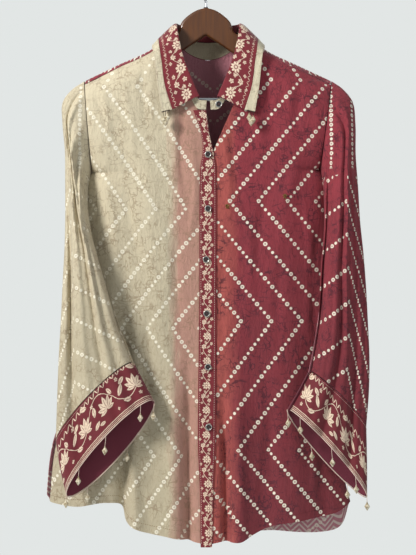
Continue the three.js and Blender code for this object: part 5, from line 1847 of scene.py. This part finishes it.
@dataclass
class Collar:
    """Collar stand, fall and edging, made from stations round the neck."""

    finishes: Finishes
    steps: int = 280

    def lines(self, with_tips: bool) -> dict[str, Array]:
        """The collar's long lines, from one front end round the back to the other."""
        keys = ("top", "roll", "edge", "band")
        rows = {key: np.stack([COLLAR[f"{key}_{axis}"] for axis in "xyz"], 1) for key in keys}
        necks = [
            body_points(np.array(x), np.array(z), i < BACK_STATIONS_FROM)
            for i, (x, z) in enumerate(zip(COLLAR["neck_x"], COLLAR["neck_z"]))
        ]
        neck = np.array(necks)
        to_top = rows["top"] - neck
        rows["neck"] = neck + to_top / np.linalg.norm(to_top, axis=1, keepdims=True) * NECK_GAP
        if with_tips:
            x, z = STAND_TIP["neck"]
            tip = body_points(np.array(x), np.array(z), True) + np.array([0, 0, NECK_GAP])
            rows = {key: np.vstack([line[:1], line]) for key, line in rows.items()}
            rows["neck"][0] = tip
            rows["top"][0] = STAND_TIP["top"]
        share = np.linspace(0, 1, self.steps)
        whole = {key: np.vstack([line, self.mirrored(line[:-1][::-1])]) for key, line in rows.items()}
        return {key: smooth_curve(line, share) for key, line in whole.items()}

    @staticmethod
    def mirrored(line: Array) -> Array:
        """The other half of a line."""
        return line * np.array([-1, 1, 1]) + np.array([2 * SHIRT_X, 0, 0])

    @staticmethod
    def along(line: Array) -> Array:
        """Length along a line from its start."""
        return np.concatenate([[0], np.cumsum(np.linalg.norm(np.diff(line, axis=0), axis=1))])

    def section(self, top: Array, roll: Array, edge: Array) -> Array:
        """One section of the fall: up from the stand, over the roll and out to the edge."""
        to_top = (top - roll) / np.linalg.norm(top - roll)
        to_edge = (edge - roll) / np.linalg.norm(edge - roll)
        apart = (to_edge - to_top) / np.linalg.norm(to_edge - to_top)
        start = top - to_top * NECK_GAP
        inside = roll + to_top * FOLD_RUN - apart * FOLD_HALF_GAP / 2
        outside = roll + to_edge * FOLD_RUN + apart * FOLD_HALF_GAP
        tall = np.linalg.norm(top - roll) > 2 * FOLD_RUN
        points = [start, inside, roll, outside, edge] if tall else [start, roll, outside, edge]
        return smooth_curve(np.array(points), np.linspace(0, 1, 34))

    def fall(self) -> Sheet:
        """The collar's fall, with the map of its printed strip measured from its edge."""
        lines = self.lines(False)
        sections = [self.section(*parts) for parts in zip(lines["top"], lines["roll"], lines["edge"])]
        places = np.array(sections)
        ripple = np.linspace(0, 1, places.shape[1])[None, :] ** 2
        edge = self.along(lines["edge"])
        wave = np.sin(edge / 11) * 0.5 + np.sin(edge / 4.3 + 1) * 0.25
        places[..., 1] -= wave[:, None] * ripple
        sheet = Sheet(places)
        run = np.cumsum(np.linalg.norm(np.diff(places, axis=1), axis=-1), 1)
        across = np.concatenate([np.zeros((self.steps, 1)), run], 1)
        across = across[:, -1:] - across
        along = np.broadcast_to(self.along(lines["roll"])[:, None], across.shape)
        sheet.maps["strip"] = np.stack([along, across], axis=-1)
        return sheet

    def band(self, low: Array, high: Array, columns: int, bulge: float = 0.0) -> Sheet:
        """A plain band of cloth between two lines."""
        up = np.linspace(0, 1, columns)[None, :, None]
        places = low[:, None] * (1 - up) + high[:, None] * up
        normal = Sheet(places).normals()
        pucker = np.sin(self.along(high) / 3.1) * 0.18 + np.sin(self.along(high) / 7.7) * 0.25
        places = places + normal * ((4 * up * (1 - up)) * bulge + pucker[:, None, None] * up)
        sheet = Sheet(places)
        sheet.values["beside"] = np.zeros(places.shape[:2])
        return sheet

    def build(self) -> dict[str, Sheet]:
        """Builds the collar's three pieces.

        Returns:
            Their grids, by name.
        """
        tips, plain = self.lines(True), self.lines(False)
        out = plain["band"] - plain["edge"]
        start = plain["edge"] + out / np.linalg.norm(out, axis=1, keepdims=True) * SEAM_GAP
        looks = self.finishes
        pieces = {
            "collar_stand": (self.band(tips["neck"], tips["top"], 12), looks.plain_tan, "tan_cloth"),
            "collar": (self.fall(), looks.collar, "print_cloth"),
            "collar_edging": (self.band(start, plain["band"], 10), looks.plain_tan, "tan_cloth"),
        }
        return covered(pieces)


@dataclass
class Placket:
    """The printed strip over the fronts, made from their places moved out."""

    finishes: Finishes
    rows: int = 300
    columns: int = 12

    def places(self, share_across: Array, proud: float = PLACKET_OUT) -> Array:
        """Places on the placket at shares across it, for every row."""
        z = np.linspace(PLACKET["z"][0], PLACKET["z"][-1], self.rows)[:, None]
        left, right = PLACKET.read("z", "left", z), PLACKET.read("z", "right", z)
        x = left + (right - left) * share_across[None, :]
        return body_points(x, np.broadcast_to(z, x.shape), True, proud)

    def build(self) -> dict[str, Sheet]:
        """Builds the strip, with a soft roll at both its edges."""
        share = np.linspace(0, 1, self.columns)
        places = self.places(share)
        places[..., 1] += (np.abs(2 * share - 1) ** 6 * 0.5)[None]
        sheet = Sheet(places)
        down = Collar.along(places[:, 0])[:, None]
        along = np.broadcast_to(down, places.shape[:2])
        across = places[..., 0] - places[:, :1, 0]
        sheet.maps["strip"] = np.stack([along, across], axis=-1)
        return covered({"placket": (sheet, self.finishes.placket, "print_cloth")})


def declare(piece: Thing, name: str) -> None:
    """Logs the area of a piece of cloth."""
    log.info("area of %s: %.5f", name, area_of(piece))


def covered(pieces: dict[str, tuple[Sheet, Material, str]]) -> dict[str, Sheet]:
    """Makes and dresses pieces of cloth, and logs their areas.

    Args:
        pieces: the grid, the material and the slot of each, by the name of the node that it stands for.

    Returns:
        The grids, by name.
    """
    for name, (sheet, material, slot) in pieces.items():
        declare(dressed(sheet.build("cloth_" + name), material, slot, name), name)
    return {name: sheet for name, (sheet, _, _) in pieces.items()}


Profile = Sequence[tuple[float, float]]


class Builder:
    """Collects round and faceted shapes into one mesh with several finishes."""

    def __init__(self) -> None:
        """Starts empty."""
        self.mesh = bmesh.new()

    def lathe(
        self, profile: Profile, segments: int, place: Matrix, finish: int = 0, smooth: bool = True
    ) -> None:
        """Turns a profile of radius and height round Z, and puts it in place.

        Args:
            profile: radius and height in millimetres, from the axis to the axis.
            segments: steps round.
            place: where it goes, in metres.
            finish: the number of its material.
            smooth: whether its faces are shaded smooth.
        """
        rings = []
        for radius, height in profile:
            if radius == 0:
                rings.append([self.mesh.verts.new(place @ Vector((0, 0, height * MM)))])
                continue
            turns = [2 * math.pi * i / segments for i in range(segments)]
            spots = [Vector((radius * math.cos(t), radius * math.sin(t), height)) * MM for t in turns]
            rings.append([self.mesh.verts.new(place @ spot) for spot in spots])
        for low, high in zip(rings, rings[1:]):
            self.join(low, high, segments, finish, smooth)

    def join(self, low: list, high: list, segments: int, finish: int, smooth: bool) -> None:
        """Faces between two rings, either of which may be a single point."""
        for i in range(segments):
            j = (i + 1) % segments
            corners = [low[i % len(low)], low[j % len(low)], high[j % len(high)], high[i % len(high)]]
            face = self.mesh.faces.new(list(dict.fromkeys(corners)))
            face.material_index = finish
            face.smooth = smooth

    def tube(self, points: Array, radius: float, segments: int = 8, finish: int = 0) -> None:
        """A round thread or wire along points in millimetres, with closed ends."""
        path = [Vector(point) * MM for point in points]
        rings = []
        side = Vector((0, 1, 0))
        for i, spot in enumerate(path):
            ahead = (path[min(i + 1, len(path) - 1)] - path[max(i - 1, 0)]).normalized()
            if abs(side.dot(ahead)) < 0.99:
                side = (side - ahead * side.dot(ahead)).normalized()
            else:
                side = ahead.orthogonal().normalized()
            other = ahead.cross(side)
            turns = [2 * math.pi * k / segments for k in range(segments)]
            ring = [spot + (side * math.cos(t) + other * math.sin(t)) * radius * MM for t in turns]
            rings.append([self.mesh.verts.new(place) for place in ring])
        self.skin(rings, finish)

    def skin(self, rings: Sequence[list], finish: int) -> None:
        """Joins even rings into a tube and closes its ends."""
        for low, high in zip(rings, rings[1:]):
            self.join(low, high, len(low), finish, True)
        for ring in (rings[0][::-1], rings[-1]):
            self.mesh.faces.new(ring).material_index = finish

    def made(self, name: str, *materials: Material) -> Thing:
        """Turns what was collected into an object."""
        bmesh.ops.recalc_face_normals(self.mesh, faces=self.mesh.faces)
        mesh = bpy.data.meshes.new(name)
        self.mesh.to_mesh(mesh)
        self.mesh.free()
        for material in materials:
            mesh.materials.append(material)
        return placed_object(name, mesh)


def ball_profile(radius: float, steps: int) -> Profile:
    """A ball's profile for the lathe, from its foot to its top."""
    turns = np.linspace(0, math.pi, steps)
    ball = [(radius * math.sin(t), -radius * math.cos(t)) for t in turns]
    ball[0], ball[-1] = (0, -radius), (0, radius)
    return ball


@dataclass
class Buttons:
    """Dark buttons with bright rims down the placket, and one on the stand."""

    finishes: Finishes
    radius: float = 5.0
    height: float = 2.4
    hole_out: float = 0.85

    def build(self) -> None:
        """Builds each button where its solid is."""
        for name in [f"button_{i}" for i in range(1, 7)] + ["button_stand"]:
            low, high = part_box(name)
            centre = (low + high) / 2
            foot = Vector((centre.x, high.y, centre.z))
            self.button(name, Matrix.Translation(foot) @ Matrix.Rotation(math.pi / 2, 4, "X"))

    def button(self, name: str, place: Matrix) -> None:
        """One button: a metal rim, a dished face with four holes and its thread."""
        r, h = self.radius, self.height
        shape = Builder()
        inner = r - 1.5
        rim = [(inner, 0.1), (r - 0.3, 0.1), (r, 0.7), (r, h - 0.6), (r - 0.3, h - 0.1)]
        rim += [(r - 0.7, h), (r - 1.1, h - 0.2), (inner, h - 0.8), (inner, 0.1)]
        shape.lathe(rim, 40, place, 1)
        face = [(0, 0.3), (inner, 0.3), (r - 1.4, h - 0.9), (2.4, h - 1.25), (1.6, h - 1.05)]
        shape.lathe([*face, (0, h - 1.05)], 40, place, 0)
        for turn in (45, 135, 225, 315):
            angle, out = math.radians(turn), self.hole_out
            spot = Vector((out * math.cos(angle), out * math.sin(angle), h - 1.05))
            hole = place @ Matrix.Translation(spot * MM)
            shape.lathe([(0, 0), (0.42, 0), (0.3, 0.12), (0, 0.16)], 10, hole, 2)
        looks = self.finishes
        piece = shape.made("dressed_" + name, looks.resin, looks.rim, looks.wine_thread)
        dressed(piece, looks.resin, "button_resin", name)


@dataclass
class Beads:
    """Drop beads on threads at the cuffs and collar tips, and small gold ones on the maroon front."""

    finishes: Finishes
    facets: int = 8
    gold_radius: float = 1.15
    thread_radius: float = 0.42
    cord_radius: float = 0.8

    # Photo pixels of the two clusters, and each ball's place in one
    CLUSTERS = ((227.3, 206.5), (284.7, 196.5))
    IN_CLUSTER = ((-2.2, 1.6), (0.2, 2.8), (2.3, 1.2), (-1.4, -1.6), (1.2, -2.2), (0, 0.2))

    def drop(self, shape: Builder, place: Array, thread: float, sway: float) -> None:
        """One diamond bead under its thread, with a seed bead above it.

        Args:
            shape: what it is added to.
            place: where the thread starts, in millimetres.
            thread: the thread's length.
            sway: how far the bead hangs to one side.
        """
        place = np.asarray(place, float)
        half = BEAD_HEIGHT / 2
        share = np.linspace(0, 1, 6)[:, None]
        drop = np.array([0, 0, -thread - 0.8])
        line = place + np.array([sway, 0, 0]) * share**2 + drop * share + np.array([0, 0, 1.2])
        shape.tube(line, self.thread_radius, 6, 1)
        end = Vector(place + np.array([sway, 0, -thread])) * MM
        seed = [(0, -0.9), (0.8, -0.5), (1.05, 0), (0.8, 0.5), (0, 0.9)]
        shape.lathe(seed, 10, Matrix.Translation(end), 0)
        lean = Matrix.Rotation(math.radians(-sway * 3), 4, "Y") @ Matrix.Rotation(math.radians(22.5), 4, "Z")
        middle = Matrix.Translation(end - Vector((0, 0, half * MM))) @ lean
        r = BEAD_RADIUS
        diamond = [(0, -half), (r * 0.14, -half + 0.5), (r * 0.94, -0.5), (r, 0), (r * 0.94, 0.5)]
        diamond += [(r * 0.16, half - 0.6), (0, half - 0.3)]
        shape.lathe(diamond, self.facets, middle, 0, smooth=False)

    def cuff(self, name: str, sheet: Sheet, swing: int) -> None:
        """The beads round one cuff's edge, on a cord that is whipped to the edge."""
        edge, above = sheet.places[-1], sheet.places[-3]
        down = edge - above
        down = down / np.linalg.norm(down, axis=1, keepdims=True)
        cord = edge + down * (STRIP_GAP - 0.8)
        shape = Builder()
        shape.tube(np.vstack([cord, cord[:1]]), self.cord_radius, 6, 1)
        count = len(edge)
        for number, row in enumerate(CUFF_BEADS.each()):
            spot = cord[int(row["turn"] / 360 * count) % count] + np.array([0, 0, -0.8])
            self.drop(shape, spot, row["thread"] + STRIP_GAP, swing * (0.4 + 0.5 * (number % 3)))
        piece = shape.made("dressed_" + name, self.finishes.bead, self.finishes.pale_thread)
        dressed(piece, self.finishes.bead, "bead", name)

    def collar_tip(self, name: str, side: int) -> None:
        """The beads under one collar tip; side -1 is the viewer's left."""
        tip = next(COLLAR.each())
        across = np.array([-side, 1.0, 1.0])
        shift = np.array([0.0 if side < 0 else 2 * SHIRT_X, 0, 0])
        inner = np.array([tip["edge_x"] - 4, tip["edge_y"], tip["edge_z"]]) * across + shift
        outer = np.array([tip["band_x"], tip["band_y"], tip["band_z"]]) * across + shift
        line = inner + (outer - inner) * np.linspace(0, 1, 9)[:, None] - np.array([0, 2.5, 1.2])
        shape = Builder()
        shape.tube(line, self.cord_radius, 6, 1)
        for number, row in enumerate(TIP_BEADS.each()):
            spot = inner + (outer - inner) * row["along"] - np.array([0, 5.0, 1.6])
            self.drop(shape, spot, row["thread"] + 1.2, side * (0.8 - number * 0.7))
        piece = shape.made("dressed_" + name, self.finishes.bead, self.finishes.dark_thread)
        dressed(piece, self.finishes.bead, "bead", name)

    def clusters(self) -> None:
        """Two sewn clusters of small gold beads at chevron corners of the maroon front."""
        shape = Builder()
        ball = ball_profile(self.gold_radius, 6)
        for column, row in self.CLUSTERS:
            for dx, dz in self.IN_CLUSTER:
                x, z = np.array(Photo.x(column) + dx), np.array(Photo.z(row) + dz)
                spot = body_points(x, z, True, 1.3)
                shape.lathe(ball, 10, Matrix.Translation(Vector(spot) * MM), 0)
        piece = shape.made("gold_bead_clusters", self.finishes.gold)
        dressed(piece, self.finishes.gold, "bead")

    def build(self, grids: dict[str, Sheet]) -> None:
        """Builds all the beads."""
        self.cuff("cuff_beads_tan", grids["cuff_tan"], -1)
        self.cuff("cuff_beads_maroon", grids["cuff_maroon"], 1)
        self.collar_tip("collar_beads_left", -1)
        self.collar_tip("collar_beads_right", 1)
        self.clusters()


@dataclass
class Hanger:
    """The wooden hanger with its wire hook and trouser bar."""

    finishes: Finishes
    thickness: float = 14
    edge_round: float = 4
    hook_radius: float = 22
    wire: float = 2
    tip_swell: float = 1.15
    bar_radius: float = 3
    bar_half: float = 150
    bar_z: float = -201.5

    TOP = Table("x z", (0, -62), (-16, -67), (-36, -83), (-43.8, -100.8))
    SHOULDER_X = (-58, -69, -81, -106, -132, -152, -172)
    BELOW_RIDGE = 3.4
    UNDERSIDE = Table(
        "x z",
        (-180, -179), (-178, -193), (-166, -208), (-150, -212), (-132, -204), (-90, -168), (-39, -130),
        (0, -104),
    )

    def outline(self) -> Array:
        """The wood's outline in X and Z, all round."""
        shoulder = [(x, float(ridge_z(x)) - self.BELOW_RIDGE) for x in self.SHOULDER_X]
        points = np.vstack([self.TOP.rows, shoulder, self.UNDERSIDE.rows])
        half = resampled(smooth_curve(points, np.linspace(0, 1, 400)), 130)
        return np.vstack([half, (half * [-1, 1])[1:-1][::-1]])

    def wood(self) -> Thing:
        """The wood, with edges rounded in steps."""
        outline = self.outline()
        along = np.roll(outline, -1, axis=0) - np.roll(outline, 1, axis=0)
        normal = np.stack([along[:, 1], -along[:, 0]], axis=1) / np.linalg.norm(along, axis=1, keepdims=True)
        turns = np.linspace(0, math.pi / 2, 6)
        half, reach = self.thickness / 2, self.edge_round
        insets = [(reach * (1 - math.sin(t)), half - reach * (1 - math.cos(t))) for t in turns]
        loops = insets + [(inset, -y) for inset, y in insets[::-1]]
        sign = 1 if self.inward(outline, normal) else -1
        shape = Builder()
        rings = [
            [shape.mesh.verts.new(Vector((x, y, z)) * MM) for x, z in outline + normal * sign * inset]
            for inset, y in loops
        ]
        shape.skin(rings, 0)
        bmesh.ops.triangulate(shape.mesh, faces=[face for face in shape.mesh.faces if len(face.verts) > 4])
        return shape.made("dressed_hanger")

    @staticmethod
    def inward(outline: Array, normal: Array) -> bool:
        """Whether the normals of an outline point into it."""
        grown = outline + normal
        following = [np.roll(ring, -1, axis=0) for ring in (outline, grown)]
        size = [(a[:, 0] * b[:, 1] - a[:, 1] * b[:, 0]).sum() for a, b in zip((outline, grown), following)]
        return abs(size[1]) < abs(size[0])

    def build(self) -> None:
        """Builds the hanger's three pieces."""
        dressed(self.wood(), self.finishes.wood, "varnished_wood", "hanger")
        top = float(self.TOP["z"][0])
        stem = [(0, 0, top + 0.3), (0, 0, top + 9), (-4, 0, top + 17)]
        turns = np.radians(np.arange(215, -36, -25))
        bend = [(self.hook_radius * math.cos(t), 0, self.hook_radius * math.sin(t) - 20) for t in turns]
        shape = Builder()
        shape.tube(smooth_curve(np.array(stem + bend), np.linspace(0, 1, 90)), self.wire, 16)
        end = Vector(bend[-1]) * MM
        shape.lathe(ball_profile(self.wire * self.tip_swell, 9), 16, Matrix.Translation(end))
        washer = [(0, 0), (3.8, 0), (3.6, 0.8), (2.4, 1.4), (0, 1.4)]
        shape.lathe(washer, 24, Matrix.Translation(Vector((0, 0, top)) * MM))
        steel = self.finishes.steel
        dressed(shape.made("dressed_hanger_hook", steel), steel, "plated_steel", "hanger_hook")
        shape = Builder()
        bar = np.array([(x, 0, self.bar_z) for x in (-self.bar_half, 0, self.bar_half)])
        shape.tube(bar, self.bar_radius, 24)
        dressed(shape.made("dressed_trouser_bar", steel), steel, "plated_steel", "trouser_bar")


HEM_ROW = -4


@dataclass
class Seams:
    """Stitch lines on the placket, hems, collar and cuffs."""

    finishes: Finishes
    stitches: Stitches = field(default_factory=Stitches)
    proud: float = 0.55

    def lifted(self, sheet: Sheet, row: "int | slice", column: "int | slice") -> Array:
        """Places on a grid, lifted off its outer face."""
        normal = sheet.normals()[row, column]
        places = sheet.places[row, column]
        outward = np.sign(normal[..., 1].mean()) * -1
        return places + normal * outward * self.proud

    def build(self, grids: dict[str, Sheet]) -> None:
        """Sews the stitch lines of the placket, hems, collar and cuffs."""
        looks, sew = self.finishes, self.stitches.along
        running = dict(Spacing=3.4, Stitch_length=2.3, Stitch_radius=0.34)
        fine = dict(Spacing=2.6, Stitch_length=1.9, Stitch_radius=0.26)
        placket = grids["placket"]
        pale = [self.lifted(placket, slice(4, -3), -2), self.lifted(placket, slice(4, -3), 1)]
        sew("stitches_placket", pale, looks.pale_thread, "print_cloth", **running)
        tan, maroon = grids["front_tan"], grids["front_maroon"]
        brown = [self.lifted(tan, HEM_ROW, slice(1, -8))]
        sew("stitches_hem_tan", brown, looks.brown_thread, "tan_cloth", **running)
        wine = [self.lifted(maroon, HEM_ROW, slice(8, -1))]
        sew("stitches_hem_maroon", wine, looks.wine_thread, "maroon_cloth", **fine)
        edging = grids["collar_edging"]
        lines = [self.lifted(edging, slice(2, -2), -2), self.lifted(edging, slice(2, -2), 1)]
        sew("stitches_collar", lines, looks.pale_thread, "tan_cloth", **fine)
        for name in ("cuff_tan", "cuff_maroon"):
            sew("stitches_" + name, [self.ring(grids[name], 1)], looks.pale_thread, "print_cloth", **fine)

    def ring(self, sheet: Sheet, row: int) -> Array:
        """A ring of a closed grid, lifted off its outer face."""
        places = sheet.places[row]
        outward = places - places.mean(0)
        normal = sheet.normals()[row]
        sign = np.sign((normal * outward).sum(-1).mean())
        ring = places + normal * sign * self.proud
        return np.vstack([ring, ring[:1]])


@dataclass
class Studio:
    """Camera, soft lights and a pale floor."""

    distance: float = 2.2
    shirt_y: float = -0.03
    centre_x: float = 0.003
    centre_z: float = -0.472
    frame_width: float = 0.624
    floor_z: float = -1.05
    floor_radius: float = 0.6
    room_fill: float = 0.48

    def camera(self) -> None:
        """The camera straight in front of the shirt, with the photo's frame."""
        data = bpy.data.cameras.new("camera")
        data.sensor_fit = "HORIZONTAL"
        data.sensor_width = 36
        data.lens = data.sensor_width * (self.distance + self.shirt_y) / self.frame_width
        thing = placed_object("camera", data)
        thing.location = (self.centre_x, -self.distance, self.centre_z)
        thing.rotation_euler = (math.pi / 2, 0, 0)
        bpy.context.scene.camera = thing

    def light(self, name: str, place: Triple, size: float, power: float, tint: Triple) -> None:
        """A soft square light that points at the shirt's middle."""
        data = bpy.data.lights.new(name, "AREA")
        data.size = size
        data.energy = power
        data.color = tint
        thing = placed_object(name, data)
        thing.location = place
        aim = Vector((self.centre_x, 0, self.centre_z)) - Vector(place)
        thing.rotation_euler = aim.to_track_quat("-Z", "Y").to_euler()

    def world(self) -> None:
        """A pale room: its look behind the shirt, and a dimmer fill on it."""
        world = bpy.data.worlds.new("room")
        world.use_nodes = True
        bpy.context.scene.world = world
        tree = world.node_tree
        background = tree.nodes["Background"]
        ray = tree.nodes.new("ShaderNodeLightPath")
        seen = Value(tree, ray.outputs["Is Camera Ray"])
        background.inputs["Color"].default_value = srgb(226, 230, 229)
        strength = seen * (1 - self.room_fill) + self.room_fill
        tree.links.new(strength.socket, background.inputs["Strength"])
        bpy.context.scene.view_settings.view_transform = "Standard"

    def floor(self) -> None:
        """A round pale floor below the shirt."""
        shape = Builder()
        edge = self.floor_radius / MM
        profile = [(0, 0), (edge, 0), (edge, -10), (0, -10)]
        shape.lathe(profile, 96, Matrix.Translation((0, 0, self.floor_z)))
        finish = SmoothFinish("pale floor", srgb(226, 228, 226), 0.9, marks=0.1).material()
        shape.made("floor", finish)

    def build(self) -> None:
        """Builds the studio."""
        self.camera()
        self.world()
        self.floor()
        self.light("key", (-1.8, -1.7, 0.8), 0.6, 84, (1.0, 0.98, 0.95))
        self.light("fill", (1.6, -1.9, 0.1), 1.4, 10, (0.96, 0.98, 1.0))
        self.light("back", (0.3, 2.0, 0.8), 1.4, 26, (1.0, 1.0, 1.0))


def main() -> None:
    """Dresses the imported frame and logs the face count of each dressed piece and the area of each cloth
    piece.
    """
    logging.basicConfig(level=logging.INFO, format="%(name)s %(message)s")
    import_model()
    Studio().build()
    finishes = Finishes()
    grids = Panels(finishes).build()
    grids |= Sleeves(finishes).build()
    grids |= Collar(finishes).build()
    grids |= Placket(finishes).build()
    Buttons(finishes).build()
    Beads(finishes).build(grids)
    Hanger(finishes).build()
    Seams(finishes).build(grids)


if __name__ == "__main__":
    main()
